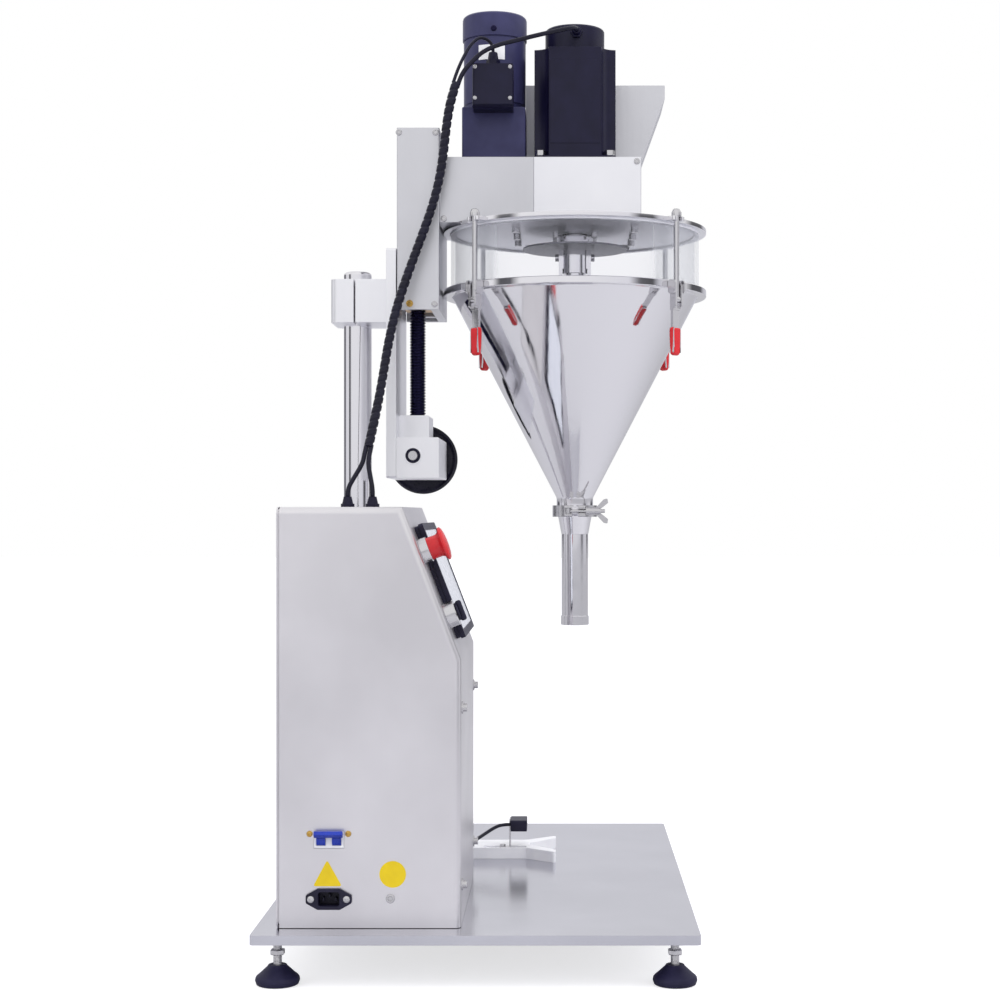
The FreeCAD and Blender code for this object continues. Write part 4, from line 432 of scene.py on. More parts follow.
SHEET_Z = brushed_stainless("brushed_stainless_upright_grain", "z")
SHEET_X = brushed_stainless("brushed_stainless_long_grain", "y", "C4C4CC", "CECED6", 0.13, 0.22, 0.05)
SHEET_HEAD = brushed_stainless("brushed_stainless_head", "z", "D3D3D8", "DEDEE3", 0.34, 0.44)
# A near-white copy of the head's brushed sheet. On the head front it is partly that sheet's own paler finish
# and partly painted light; on the lid's underside it is painted light only.
PALE_SHEET_AND_PAINTED_LIGHT = brushed_stainless("brushed_stainless_pale_front_and_painted_light", "z", "F0F0F5", "F8F8FC", 0.34, 0.44)
POLISHED = polished_stainless("polished_stainless")
TURNED = turned_steel("turned_stainless")
PLATED = turned_steel("bright_plated_steel", "D0CFD2", 0.16)
BLACK_STEEL = turned_steel("black_oxide_steel", "262440", 0.28)
SHEET_DISC = brushed_stainless("brushed_stainless_disc", "x", "85858D", "94949C")
ANODISED = anodised_aluminium("clear_anodised_aluminium")
PULLEY = anodised_aluminium("turned_aluminium_pulley", "CFCFD2")
BRONZE = turned_steel("phosphor_bronze", "B98F4E", 0.3)
BRASS = turned_steel("yellow_brass", "C9A45A", 0.25)
GEAR_PAINT = satin_paint("stoved_blue_black_paint", "313154", "3A3A60")
DARK_PAINT = satin_paint("stoved_black_paint", "0D0B26", "13112E")
NYLON_BLACK = moulded_plastic("black_nylon", "121024", "1A182E", shine=0.25)
ABS_BLACK = moulded_plastic("black_abs", "151328", "201E36", shine=0.3)
WHEEL_PLASTIC = moulded_plastic("black_phenolic", "100E20", "18162A", 0.3, 500, 0.03, 0.3)
ABS_GREY = moulded_plastic("grey_abs", "8C8D93", "9A9BA1")
ABS_WHITE = moulded_plastic("white_abs", "E6E6EC", "F2F2F6", 0.32)
BLUE_PLASTIC = moulded_plastic("blue_polycarbonate", "0A2A9A", "1036B4", 0.3)
NYLON_WHITE = moulded_plastic("machined_white_nylon", "ECECF3", "F5F5FA", 0.45, 700, 0.04)
RED_PLASTIC = moulded_plastic("red_polycarbonate", "C01A22", "D3222B", 0.3)
RED_VINYL = moulded_plastic("dipped_red_vinyl", "C8121D", "DA1A26", 0.35, 400, 0.08)
FOOT_RUBBER = moulded_plastic("moulded_foot_rubber", "191733", "232140", 0.5, shine=0.3)
BELT_RUBBER = moulded_plastic("neoprene_belt", "121218", "1C1C22", 0.6)
CABLE_PVC = moulded_plastic("black_cable_pvc", "0B0A1C", "131226", 0.3, 600, 0.05, 0.3)
SCREEN = moulded_plastic("coated_screen_glass", "D9DDE6", "E1E4EC", 0.12, 200, 0.005)
ACRYLIC = clear_acrylic("cast_acrylic")
YELLOW = moulded_plastic("yellow_vinyl_sticker", "E3C400", "EFD100", 0.4)
LABEL = moulded_plastic("white_paper_label", "E9E9EE", "F4F4F7", 0.55)

NODE_FINISHES = {
    SHEET_Z: ["cabinet_shell", "cabinet_rear_cover"],
    SHEET_X: ["base_plate"],
    SHEET_HEAD: ["head_housing", "carriage", "feed_chute"],
    POLISHED: ["column", "hopper_lid", "hopper_cone", "nozzle_tube", "agitator", "auger_screw"],
    TURNED: ["frame_screws", "cross_shaft", "guide_rails", "head_screws", "outlet_clamp", "swing_bolt",
             "wing_nut", "sensor_bracket"],
    PLATED: ["button_collars", "clasp_brackets"],
    BLACK_STEEL: ["lead_screw"],
    ANODISED: ["column_clamp", "lift_back_plate", "lift_gearbox"],
    PULLEY: ["motor_pulley"],
    BRONZE: ["lift_nut"],
    GEAR_PAINT: ["gear_motor"],
    DARK_PAINT: ["terminal_box", "auger_motor"],
    NYLON_BLACK: ["cable_glands"],
    ABS_BLACK: ["touch_panel_case", "power_inlet", "selector_knob", "photo_sensor"],
    WHEEL_PLASTIC: ["handwheel", "crank_grip"],
    ABS_GREY: ["control_modules"],
    ABS_WHITE: ["breaker_body"],
    BLUE_PLASTIC: ["breaker_toggle"],
    NYLON_WHITE: ["bag_fork"],
    RED_PLASTIC: ["estop_button"],
    FOOT_RUBBER: ["foot_front_left", "foot_front_right", "foot_rear_left", "foot_rear_right"],
    BELT_RUBBER: ["drive_belt"],
    SCREEN: ["touch_panel_screen"],
    ACRYLIC: ["hopper_ring"],
}
for number in range(1, 5):
    NODE_FINISHES[PLATED] += [f"clasp_lever_{number}", f"clasp_rod_{number}"]
for material, names in NODE_FINISHES.items():
    for name in names:
        nodes[name].data.materials.clear()
        nodes[name].data.materials.append(material)
for piece in (bundle, auger_lead, gear_lead, near_tail, far_tail, sensor_lead):
    piece.data.materials.append(CABLE_PVC)


# ------------------------------------------------------------------ modelling helpers
SLOT_OF = {entry["node"]: entry["material_slot"] for entry in frame["record"]["subparts"]}
SLOT_BY_FINISH = {material: SLOT_OF[names[0]] for material, names in NODE_FINISHES.items()}
SLOT_BY_FINISH.update({
    PALE_SHEET_AND_PAINTED_LIGHT: "brushed_stainless", SHEET_DISC: "brushed_stainless", BRASS: "bronze",
    RED_VINYL: "red_plastic", LABEL: "white_plastic", YELLOW: "white_plastic"})


def only(piece):
    """Selects one piece and nothing else, in object mode."""
    bpy.ops.object.select_all(action="DESELECT")
    piece.select_set(True)
    bpy.context.view_layer.objects.active = piece


def flattened_shading(piece, angle):
    """Smooths a piece up to an angle, with its large flat faces shaded flat beside their bevels."""
    only(piece)
    bpy.ops.object.shade_smooth_by_angle(angle=math.radians(angle))
    bpy.ops.object.modifier_add(type="WEIGHTED_NORMAL")
    piece.modifiers[-1].keep_sharp = True
    piece.modifiers[-1].weight = 100
    bpy.ops.object.modifier_apply(modifier=piece.modifiers[-1].name)


def set_in_place(piece, name, material, body, angle=32.0):
    """Names a finished piece, fixes its place in its mesh, smooths it and rides it on its body."""
    piece.name = name
    only(piece)
    bpy.ops.object.transform_apply(location=True, rotation=True, scale=True)
    flattened_shading(piece, angle)
    piece.data.materials.clear()
    piece.data.materials.append(material)
    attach(piece, body)
    return piece


def broken_edges(piece, width, segments=2, angle=40.0):
    """Breaks the sharp edges of a piece by a bevel, its width in millimetres."""
    only(piece)
    bpy.ops.object.modifier_add(type="BEVEL")
    bevel = piece.modifiers[-1]
    bevel.width = width * MM
    bevel.segments = segments
    bevel.limit_method = "ANGLE"
    bevel.angle_limit = math.radians(angle)
    bevel.use_clamp_overlap = True
    bpy.ops.object.modifier_apply(modifier=bevel.name)


def merged_copy(node):
    """A copy of a CAD form whose loose triangles are merged into whole faces."""
    piece = bpy.data.objects.new(node, nodes[node].data.copy())
    bpy.context.scene.collection.objects.link(piece)
    only(piece)
    bpy.ops.object.mode_set(mode="EDIT")
    bpy.ops.mesh.select_all(action="SELECT")
    bpy.ops.mesh.remove_doubles(threshold=0.00002)
    bpy.ops.mesh.dissolve_limited(angle_limit=math.radians(0.3))
    bpy.ops.object.mode_set(mode="OBJECT")
    return piece


def dressed(node, edge=0.0, angle=32.0):
    """Stands a smooth copy with broken edges in for a CAD form, in the same finish."""
    piece = merged_copy(node)
    if edge:
        broken_edges(piece, edge)
    material = nodes[node].data.materials[0]
    set_in_place(piece, "dressed_" + node, material, body_of(nodes[node])[0], angle)
    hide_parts(node)
    return piece


def shifted(node, low, high, move):
    """Moves the part of a dressed copy that lies between two corners; all in millimetres."""
    for vertex in bpy.data.objects["dressed_" + node].data.vertices:
        if all(a < at / MM < b for a, at, b in zip(low, vertex.co, high)):
            vertex.co += Vector(move) * MM


def turned_mesh(outline, steps):
    """Spins an outline of (radius, height) points in millimetres about the upright axis."""
    bpy.ops.object.select_all(action="DESELECT")
    bpy.ops.mesh.primitive_circle_add(vertices=len(outline), radius=1)
    piece = bpy.context.object
    for vertex, (radius, height) in zip(piece.data.vertices, outline):
        vertex.co = (radius * MM, 0, height * MM)
    bpy.ops.object.mode_set(mode="EDIT")
    if outline[0][0] == 0 and outline[-1][0] == 0:
        ends = {0, len(outline) - 1}
        bpy.ops.mesh.select_mode(type="EDGE")
        bpy.ops.object.mode_set(mode="OBJECT")
        for edge in piece.data.edges:
            edge.select = set(edge.vertices) == ends
        bpy.ops.object.mode_set(mode="EDIT")
        bpy.ops.mesh.delete(type="EDGE_FACE")
        bpy.ops.mesh.select_mode(type="VERT")
    bpy.ops.mesh.select_all(action="SELECT")
    bpy.ops.mesh.spin(steps=steps, angle=2 * math.pi, center=(0, 0, 0), axis=(0, 0, 1))
    bpy.ops.mesh.select_all(action="SELECT")
    bpy.ops.mesh.remove_doubles(threshold=0.000005)
    bpy.ops.mesh.normals_make_consistent(inside=False)
    bpy.ops.object.mode_set(mode="OBJECT")
    return piece


def turned_piece(name, outline, place, way, material, body, steps=48, edge=0.0):
    """A turned piece set down at a place in millimetres, its axis along a way."""
    piece = turned_mesh(outline, steps)
    if edge:
        broken_edges(piece, edge)
    piece.rotation_euler = Vector(way).to_track_quat("Z", "Y").to_euler()
    piece.location = Vector(place) * MM
    return set_in_place(piece, name, material, body)


def cap_screw(name, place, way, radius, height, material, body):
    """A cylinder-head screw with a broken rim and a socket in its head."""
    socket = radius * 0.52
    outline = [(0, 0), (radius, 0), (radius, height - 0.7), (radius - 0.5, height - 0.15),
               (radius - 1.1, height), (socket + 0.3, height), (socket, height - 0.3),
               (socket, height * 0.4), (0, height * 0.4)]
    return turned_piece(name, outline, place, way, material, body, 36)


def dome_screw(name, place, way, radius, height, material, body):
    """A low pan-head screw with a small recess."""
    socket = radius * 0.35
    outline = [(0, 0), (radius, 0), (radius * 0.96, height * 0.45), (radius * 0.75, height * 0.85),
               (socket + 0.2, height), (socket, height * 0.5), (0, height * 0.45)]
    return turned_piece(name, outline, place, way, material, body, 36)


# ------------------------------------------------------------------ smooth forms over the CAD
EDGES = {
    0.7: ["lift_gearbox", "lift_back_plate", "head_housing", "column_clamp", "carriage", "terminal_box",
          "touch_panel_case", "bag_fork", "photo_sensor", "auger_motor"],
    0.4: ["base_plate", "cabinet_shell", "cabinet_rear_cover", "feed_chute", "hopper_lid", "clasp_brackets",
          "sensor_bracket", "outlet_clamp", "wing_nut", "power_inlet", "lift_nut", "cable_glands",
          "guide_rails"],
    0.3: ["frame_screws", "head_screws", "handwheel", "cross_shaft", "agitator", "swing_bolt",
          "motor_pulley"],
    0.0: ["crank_grip", "auger_screw", "column"],
}
for edge, names in EDGES.items():
    for name in names:
        dressed(name, edge)

# The clamp's bolt heads sunk, the terminal box's foot raised, the breaker's opening closed on its case.
CLAMP_BACK_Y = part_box("column_clamp")[1][1] / MM
TERMINAL_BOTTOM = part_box("terminal_box")[0][2] / MM
shifted("frame_screws", (80, CLAMP_BACK_Y - 1, 785), (180, CLAMP_BACK_Y + 9, 844), (0, -10, 0))
shifted("terminal_box", (0, -99, TERMINAL_BOTTOM - 1), (99, 99, TERMINAL_BOTTOM + 1.2), (0, 0, 6))
shifted("cabinet_shell", (-341, 168, 176), (-336, 208, 179), (0, 0, -8))
shifted("cabinet_shell", (-341, 168, 141), (-336, 208, 144), (0, 0, 7.4))

# The plain front part of the head is a separate sheet, and it is painted paler. This is partly its own finish
# and partly painted light standing in for its brighter reflection. The lid's underside, where its faces look
# down, is painted paler too: that is painted light, not its own finish.
HEAD_SEAM_Y = (BASE_MIDDLE_Y - 58.8) * MM
head_case = bpy.data.objects["dressed_head_housing"]
head_case.data.materials.append(PALE_SHEET_AND_PAINTED_LIGHT)
# Faces in front of the seam get the pale copy: partly the front sheet's own finish, partly a painted
# reflection.
for face in head_case.data.polygons:
    face.material_index = int(face.center.y < HEAD_SEAM_Y)
lid = bpy.data.objects["dressed_hopper_lid"]
lid.data.materials.append(PALE_SHEET_AND_PAINTED_LIGHT)
# Faces that look down get the pale copy: painted light on the lid's shaded underside.
for face in lid.data.polygons:
    face.material_index = int(face.normal.z < -0.7)
for number in range(1, 5):
    dressed(f"clasp_rod_{number}", 0.3)
    dressed(f"clasp_lever_{number}", 0.4)


# ------------------------------------------------------------------ fasteners and fittings
HEAD_SIDE_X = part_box("head_housing")[0][0] / MM
CARRIAGE_SIDE_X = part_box("carriage")[0][0] / MM
CABINET_SIDE_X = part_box("cabinet_shell")[0][0] / MM
TERMINAL_SIDE_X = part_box("terminal_box")[0][0] / MM
TO_LEFT = (-1, 0, 0)
UPWARDS = (0, 0, 1)


def on_left(x, y, z):
    """A place on a face that looks left, from millimetres measured from the base's middle."""
    return (x, BASE_MIDDLE_Y + y, z)


for number, (y, z) in enumerate([(60.8, 918.8), (-196, 995), (60.8, 995), (-196, 918.8)]):
    cap_screw(f"head_case_screw_{number}", on_left(HEAD_SIDE_X, y, z), TO_LEFT, 4.2, 1.6, TURNED, "head")
for number, (y, z) in enumerate([(120.7, 1033.5), (72, 1033.5), (73.3, 805)]):
    cap_screw(f"carriage_screw_{number}", on_left(CARRIAGE_SIDE_X, y, z), TO_LEFT, 4.2, 1.6, TURNED, "head")
cap_screw("carriage_brass_screw", on_left(CARRIAGE_SIDE_X, 106.2, 805.8), TO_LEFT, 4.6, 4.0, BRASS, "head")
for number, (y, z) in enumerate([(19.5, 1121.5), (-27, 1121.5), (19.5, 1080), (-27, 1080)]):
    dome_screw(f"terminal_screw_{number}", on_left(TERMINAL_SIDE_X, y, z), TO_LEFT, 2.8, 1.6, TURNED, "head")
for number, y in enumerate((187.7, 144.3)):
    dome_screw(f"breaker_screw_{number}", on_left(CABINET_SIDE_X, y, 166.5), TO_LEFT, 3.6, 2.2, BRASS,
               "frame")
INLET_FACE_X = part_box("power_inlet")[0][0] / MM
for number, y in enumerate((186.15, 145.85)):
    dome_screw(f"inlet_screw_{number}", on_left(INLET_FACE_X, y, 93.4), TO_LEFT, 4.0, 2.0, TURNED, "frame")
cap_screw("earth_screw", on_left(CABINET_SIDE_X, 96.8, 93.9), TO_LEFT, 5.0, 3.6, TURNED, "frame")
dome_screw("fan_cap_screw", (AXIS_X - 44.0, GEAR_Y, 1182.5), TO_LEFT, 4.0, 1.6, BLACK_STEEL, "head")

# The bearing's black shield round the cross shaft's left end, level with the lead screw's axis.
screw_low, screw_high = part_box("lead_screw")
SHAFT_Y = screw_low[1] / MM / 2 + screw_high[1] / MM / 2
SHAFT_Z = 603.6
GEARBOX_SIDE_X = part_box("lift_gearbox")[0][0] / MM
turned_piece("bearing_shield", [(6.3, 0), (10, 0), (10, 1.0), (9.6, 1.4), (6.7, 1.4), (6.3, 1.0)],
             (GEARBOX_SIDE_X, SHAFT_Y, SHAFT_Z), TO_LEFT, NYLON_BLACK, "frame", 64)


# ------------------------------------------------------------------ stickers, without pictograms
def flat_plate(corners, x, thickness):
    """A plate on a plane that looks left; its corners are (y, z) from the base's middle."""
    bpy.ops.object.select_all(action="DESELECT")
    bpy.ops.mesh.primitive_circle_add(vertices=len(corners), radius=1, fill_type="NGON")
    piece = bpy.context.object
    for vertex, (y, z) in zip(piece.data.vertices, corners):
        vertex.co = Vector(on_left(x, y, z)) * MM
    bpy.ops.object.mode_set(mode="EDIT")
    bpy.ops.mesh.select_all(action="SELECT")
    bpy.ops.mesh.extrude_region_move(TRANSFORM_OT_translate={"value": (-thickness * MM, 0, 0)})
    bpy.ops.mesh.select_all(action="SELECT")
    bpy.ops.mesh.normals_make_consistent(inside=False)
    bpy.ops.object.mode_set(mode="OBJECT")
    return piece


def sticker(name, corners, x, material, body, thickness=0.25):
    """A thin vinyl sticker on a face that looks left."""
    return set_in_place(flat_plate(corners, x, thickness), name, material, body)


def cut(piece, cutter, operation="DIFFERENCE"):
    """Cuts a piece by a cutter, or keeps what they share, and takes the cutter away."""
    only(piece)
    bpy.ops.object.modifier_add(type="BOOLEAN")
    piece.modifiers[-1].operation = operation
    piece.modifiers[-1].object = cutter
    bpy.ops.object.modifier_apply(modifier=piece.modifiers[-1].name)
    bpy.data.objects.remove(cutter)


def rounded_corners(corners, radius, steps=6):
    """Rounds the corners of a flat outline."""
    out = []
    for i, corner in enumerate(corners):
        here = Vector(corner)
        before = (Vector(corners[i - 1]) - here).normalized()
        after = (Vector(corners[(i + 1) % len(corners)]) - here).normalized()
        half = before.angle(after) / 2
        reach = radius / math.tan(half)
        start = here + before * reach
        end = here + after * reach
        for k in range(steps + 1):
            t = k / steps
            out.append(start * (1 - t) ** 2 + here * 2 * t * (1 - t) + end * t ** 2)
    return [tuple(point) for point in out]


INLET_Y = 166.0
INLET_Z = 93.4
inlet_outline = [(12.4, 11.84), (25.84, 4.4), (25.84, -4.4), (12.4, -11.84),
                 (-12.4, -11.84), (-25.84, -4.4), (-25.84, 4.4), (-12.4, 11.84)]
inlet = bpy.data.objects["dressed_power_inlet"]
inlet_hull = rounded_corners([(INLET_Y + y, INLET_Z + z) for y, z in inlet_outline], 3.0)
cut(inlet, flat_plate(inlet_hull, -300, 50), "INTERSECT")
flattened_shading(inlet, 32.0)
sticker("triangle_sticker", rounded_corners([(168, 137.3), (183.8, 107.6), (151.3, 107.6)], 2.0),
        CABINET_SIDE_X, YELLOW, "frame")
disc = [(94.3 + 15 * math.cos(k * math.pi / 24), 121 + 15 * math.sin(k * math.pi / 24)) for k in range(48)]
sticker("round_sticker", disc, CABINET_SIDE_X, YELLOW, "frame")


PLATE_R = 42.7
PLATE_WIDTH = 36.5
PLATE_HEIGHT = 20
PLATE_OFF_SIDE = 3.0
PLATE_Z = 1151


def motor_plate():
    """A blank rating plate, bent round the gear motor's body."""
    bpy.ops.object.select_all(action="DESELECT")
    bpy.ops.mesh.primitive_grid_add(x_subdivisions=24, y_subdivisions=2, size=1)
    plate = bpy.context.object
    for vertex in plate.data.vertices:
        along = vertex.co.x * PLATE_WIDTH
        angle = math.pi + (along - PLATE_OFF_SIDE) / PLATE_R
        vertex.co = Vector((AXIS_X + PLATE_R * math.cos(angle), GEAR_Y + PLATE_R * math.sin(angle),
                            PLATE_Z + vertex.co.y * PLATE_HEIGHT)) * MM
    bpy.ops.object.modifier_add(type="SOLIDIFY")
    plate.modifiers[-1].thickness = 0.5 * MM
    plate.modifiers[-1].offset = 0
    bpy.ops.object.modifier_apply(modifier=plate.modifiers[-1].name)
    only(plate)
    bpy.ops.object.mode_set(mode="EDIT")
    bpy.ops.mesh.select_all(action="SELECT")
    bpy.ops.mesh.normals_make_consistent(inside=False)
    bpy.ops.object.mode_set(mode="OBJECT")
    set_in_place(plate, "motor_rating_plate", LABEL, "head")


motor_plate()


# ------------------------------------------------------------------ lead screw thread
THREAD_PITCH = 4.0
THREAD_R = 10.8
THREAD_ROOT_R = 9.2


def thread_radius(distance, turn):
    """A trapezoidal thread: flat crest, sloping flanks and flat root over one pitch."""
    phase = (distance / (THREAD_PITCH * MM) - turn) % 1.0
    rise = min(1.0, max(0.0, (0.36 - abs(phase - 0.5)) / 0.14))
    return (THREAD_ROOT_R + (THREAD_R - THREAD_ROOT_R) * rise) * MM


def threaded_screw():
    """The lead screw: its merged CAD form, thinned to the root, with the thread laid on it."""
    core = merged_copy("lead_screw")
    low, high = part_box("lead_screw")
    centre = Vector(((low[0] + high[0]) / 2, (low[1] + high[1]) / 2, 0))
    heights = []
    for vertex in core.data.vertices:
        flat = Vector((vertex.co.x, vertex.co.y, 0)) - centre
        if abs(flat.length / MM - THREAD_R) < 0.15:
            heights.append(vertex.co.z)
            flat *= (THREAD_ROOT_R - 0.2) / THREAD_R
            vertex.co.x, vertex.co.y = centre.x + flat.x, centre.y + flat.y
    set_in_place(core, "lead_screw_core", BLACK_STEEL, "screw")
    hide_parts("lead_screw")
    bottom = Vector((centre.x, centre.y, min(heights)))
    top = Vector((centre.x, centre.y, max(heights)))
    thread = tube_mesh("lead_screw_thread", [bottom, top], thread_radius, 32, 0.4 * MM)
    set_in_place(thread, "lead_screw_thread", BLACK_STEEL, "screw", 50)


threaded_screw()


# ------------------------------------------------------------------ levelling feet
STUD_PITCH = 1.5
STUD_ROOT_R = 4.55
STUD_THREAD = 0.4


def stud_radius(distance, turn):
    """The stud's fine thread: its radius at a distance along and a part of a turn round."""
    phase = (distance / STUD_PITCH / MM - turn) % 1
    return (STUD_ROOT_R + STUD_THREAD * abs(2 * phase - 1)) * MM


def levelling_foot(name, x, y):
    """A moulded rubber pad on a steel stud, with its lock nut under the base."""
    pad = [(0, 0), (22.6, 0), (23.6, 0.6), (24.9, 4.2), (25, 5.2), (24.4, 8.0), (23.2, 9.6), (19.5, 12.6),
           (15.2, 16.6), (12.6, 19.0), (11.0, 20.4), (10.5, 21.6), (10.0, 22), (0, 22)]
    piece = turned_piece(name + "_pad", pad, (x, y, 0), UPWARDS, FOOT_RUBBER, name, 64)
    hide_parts(name)
    ends = [Vector((x, y, 21)) * MM, Vector((x, y, 57)) * MM]
    stud = tube_mesh(name + "_stud", ends, stud_radius, 20, 0.37 * MM)
    set_in_place(stud, name + "_stud", TURNED, name, 60)
    nut = [(5.0, 0), (7.6, 0), (8.66, 0.8), (8.66, 5.2), (7.6, 6), (5.0, 6)]
    turned_piece(name + "_nut", nut, (x, y, 33), UPWARDS, TURNED, name, 6)


for name in ("foot_front_left", "foot_front_right", "foot_rear_left", "foot_rear_right"):
    foot_low, foot_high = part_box(name)
    levelling_foot(name, (foot_low[0] + foot_high[0]) / 2 / MM, (foot_low[1] + foot_high[1]) / 2 / MM)


# ------------------------------------------------------------------ clasp grips
CLASP_R = 186.0
GRIP_SIZE = (9.2, 15.2, 37.5)
GRIP_AT = (CLASP_R - 2.5, 0, 751.6)
LEVER_END_RISE = 8


def vinyl_grip(number):
    """The red dipped sleeve on a clasp lever's flat handle, narrower towards its lower end."""
    bpy.ops.object.select_all(action="DESELECT")
    bpy.ops.mesh.primitive_cube_add(size=1)
    grip = bpy.context.object
    grip.scale = [size * MM for size in GRIP_SIZE]
    bpy.ops.object.transform_apply(location=False, rotation=False, scale=True)
    broken_edges(grip, 4.3, 6)
    only(grip)
    bpy.ops.object.mode_set(mode="EDIT")
    bpy.ops.mesh.select_all(action="SELECT")
    bpy.ops.mesh.subdivide(number_cuts=3)
    bpy.ops.object.mode_set(mode="OBJECT")
    for vertex in grip.data.vertices:
        down = 0.5 - vertex.co.z / MM / GRIP_SIZE[2]
        taper = 1.06 - 0.16 * down ** 2.5 if down > 0 else 1.06
        vertex.co.x *= taper
        vertex.co.y *= taper
    for vertex in grip.data.vertices:
        vertex.co += Vector(GRIP_AT) * MM
    grip.rotation_euler = (0, 0, math.radians(45 + 90 * (number - 1)))
    grip.location = (AXIS_X * MM, AUGER_Y * MM, 0)
    set_in_place(grip, f"clasp_grip_{number}", RED_VINYL, f"lever_{number}", 60)


for number in range(1, 5):
    lever_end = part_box(f"clasp_lever_{number}")[0][2] / MM
    shifted(f"clasp_lever_{number}", (-999, -999, lever_end - 1), (999, 999, lever_end + 2),
            (0, 0, LEVER_END_RISE))
    vinyl_grip(number)


# ------------------------------------------------------------------ spun hopper, ring and tube
def spun_over(node, outline, steps, x=AXIS_X, y=AUGER_Y, edge=0.0, angle=32.0):
    """A finely turned form that stands in for a round CAD form."""
    piece = turned_mesh(outline, steps)
    if edge:
        broken_edges(piece, edge)
    piece.location = (x * MM, y * MM, 0)
    set_in_place(piece, "turned_" + node, nodes[node].data.materials[0], body_of(nodes[node])[0], angle)
    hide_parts(node)
    return piece


spun_over("hopper_cone", [
    (165, 831.4), (179.2, 831.4), (180, 830.6), (180, 822.7), (179.2, 821.9), (168.6, 821.9), (167, 820.6),
    (25.6, 549.4), (25, 546.6), (25, 536.4), (27.7, 533.4), (28, 532.8), (28, 530), (23, 530), (23, 547.4),
    (163.6, 818.2), (165, 822)], 160)
spun_over("nozzle_tube", [
    (17, 530), (28, 530), (28, 527.2), (27.7, 526.6), (23.2, 523.4), (22.9, 522.4), (18.6, 499.4),
    (18.2, 498.2), (18.2, 386.9), (18.5, 386.4), (19.0, 386.4), (19.25, 386.1), (19.25, 374.5),
    (18.8, 374), (17.3, 374), (17, 374.3)], 96)
spun_over("hopper_ring", [
    (164.4, 831.5), (169.6, 831.5), (170, 831.9), (170, 905.6), (169.6, 906), (164.4, 906),
    (164, 905.6), (164, 831.9)], 160)
turned_piece("lid_gasket", [
    (163, 906.05), (171, 906.05), (171.4, 907.3), (171, 908.45), (163, 908.45), (162.6, 907.3)],
    (AXIS_X, AUGER_Y, 0), UPWARDS, NYLON_WHITE, "head", 160)


# ------------------------------------------------------------------ controls on the sloping panel
SLOPE_RUN = 66.3
SLOPE_DROP = 172.0
SLOPE_LENGTH = math.hypot(SLOPE_RUN, SLOPE_DROP)
SLOPE_TOP = (39.5 + SLOPE_RUN, 534.0)
OUT_OF_SLOPE = (0, -SLOPE_DROP / SLOPE_LENGTH, SLOPE_RUN / SLOPE_LENGTH)
BUTTON_X = -312.0
ESTOP_DOWN = 55
SELECTOR_DOWN = 133


def on_slope(x, down, out):
    """A place in millimetres on the sloping panel: down from its top edge, and out of its face."""
    along = down / SLOPE_LENGTH
    return (x, SLOPE_TOP[0] - along * SLOPE_RUN + OUT_OF_SLOPE[1] * out,
            SLOPE_TOP[1] - along * SLOPE_DROP + OUT_OF_SLOPE[2] * out)


estop_at = on_slope(BUTTON_X, ESTOP_DOWN, 0)
selector_at = on_slope(BUTTON_X, SELECTOR_DOWN, 0)
mushroom = turned_piece("estop_mushroom", [
    (0, 2), (6, 2), (6, 9.2), (12.7, 9.2), (13, 9.6), (13, 20.6), (13.4, 22.4), (14.8, 24.2), (18.6, 25.7),
    (19.4, 26.5), (19.5, 27.4), (19.4, 28.3), (18.6, 29.2), (16.6, 30.2), (12, 31.3), (6, 31.9), (0, 32)],
    estop_at, OUT_OF_SLOPE, RED_PLASTIC, "estop", 72)
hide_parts("estop_button")
for name, place, outline in (
        ("estop_collar", estop_at, [(6.05, 0), (14.6, 0), (15, 0.5), (15, 8.7), (14.5, 9.7), (13.4, 9.7),
                                    (13.05, 9.3), (13.05, 3.7), (6.05, 3.7)]),
        ("selector_collar", selector_at, [(4.05, 0), (14.6, 0), (15, 0.5), (15, 11.9), (14.2, 13), (4.4, 13),
                                          (4.05, 12.6)])):
    collar = turned_piece(name, outline, place, OUT_OF_SLOPE, PLATED, "frame", 64)
    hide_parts("button_collars")


def selector_handle():
    """The selector's turned foot and the bar that the fingers hold."""
    outline = [(0, 5), (4, 5), (4, 13.3), (10, 13.3), (10.5, 13.8), (10.5, 15.2), (9.4, 16), (0, 16)]
    foot = turned_piece("selector_foot", outline, selector_at, OUT_OF_SLOPE, ABS_BLACK, "selector", 48)
    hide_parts("selector_knob")
    bpy.ops.object.select_all(action="DESELECT")
    bpy.ops.mesh.primitive_cube_add(size=1)
    bar = bpy.context.object
    bar.scale = (7 * MM, 24 * MM, 7 * MM)
    bpy.ops.object.transform_apply(location=False, rotation=False, scale=True)
    broken_edges(bar, 2.6, 4)
    bar.rotation_euler = (math.atan2(SLOPE_DROP, SLOPE_RUN), 0, 0)
    bar.location = Vector(on_slope(BUTTON_X, SELECTOR_DOWN, 18.0)) * MM
    set_in_place(bar, "selector_bar", ABS_BLACK, "selector", 50)


selector_handle()


# ------------------------------------------------------------------ ganged breaker
BREAKER_Y = 188.0
BREAKER_Z = 160.0
BREAKER_FACE_X = -341.2
TOGGLE_X = -337.0
DRUM_REACH = 8.8
TOGGLE_ANGLE = 40


def rounded_block(low, high, bevel):
    """A block between two corners in millimetres, with rounded edges."""
    bpy.ops.object.select_all(action="DESELECT")
    bpy.ops.mesh.primitive_cube_add(size=1)
    piece = bpy.context.object
    piece.scale = [(b - a) * MM for a, b in zip(low, high)]
    bpy.ops.object.transform_apply(location=False, rotation=False, scale=True)
    broken_edges(piece, bevel, 3)
    piece.location = [(a + b) / 2 * MM for a, b in zip(low, high)]
    return piece


def block(name, low, high, bevel, material, body):
    """A rounded block, finished and ridden on its body."""
    return set_in_place(rounded_block(low, high, bevel), name, material, body)


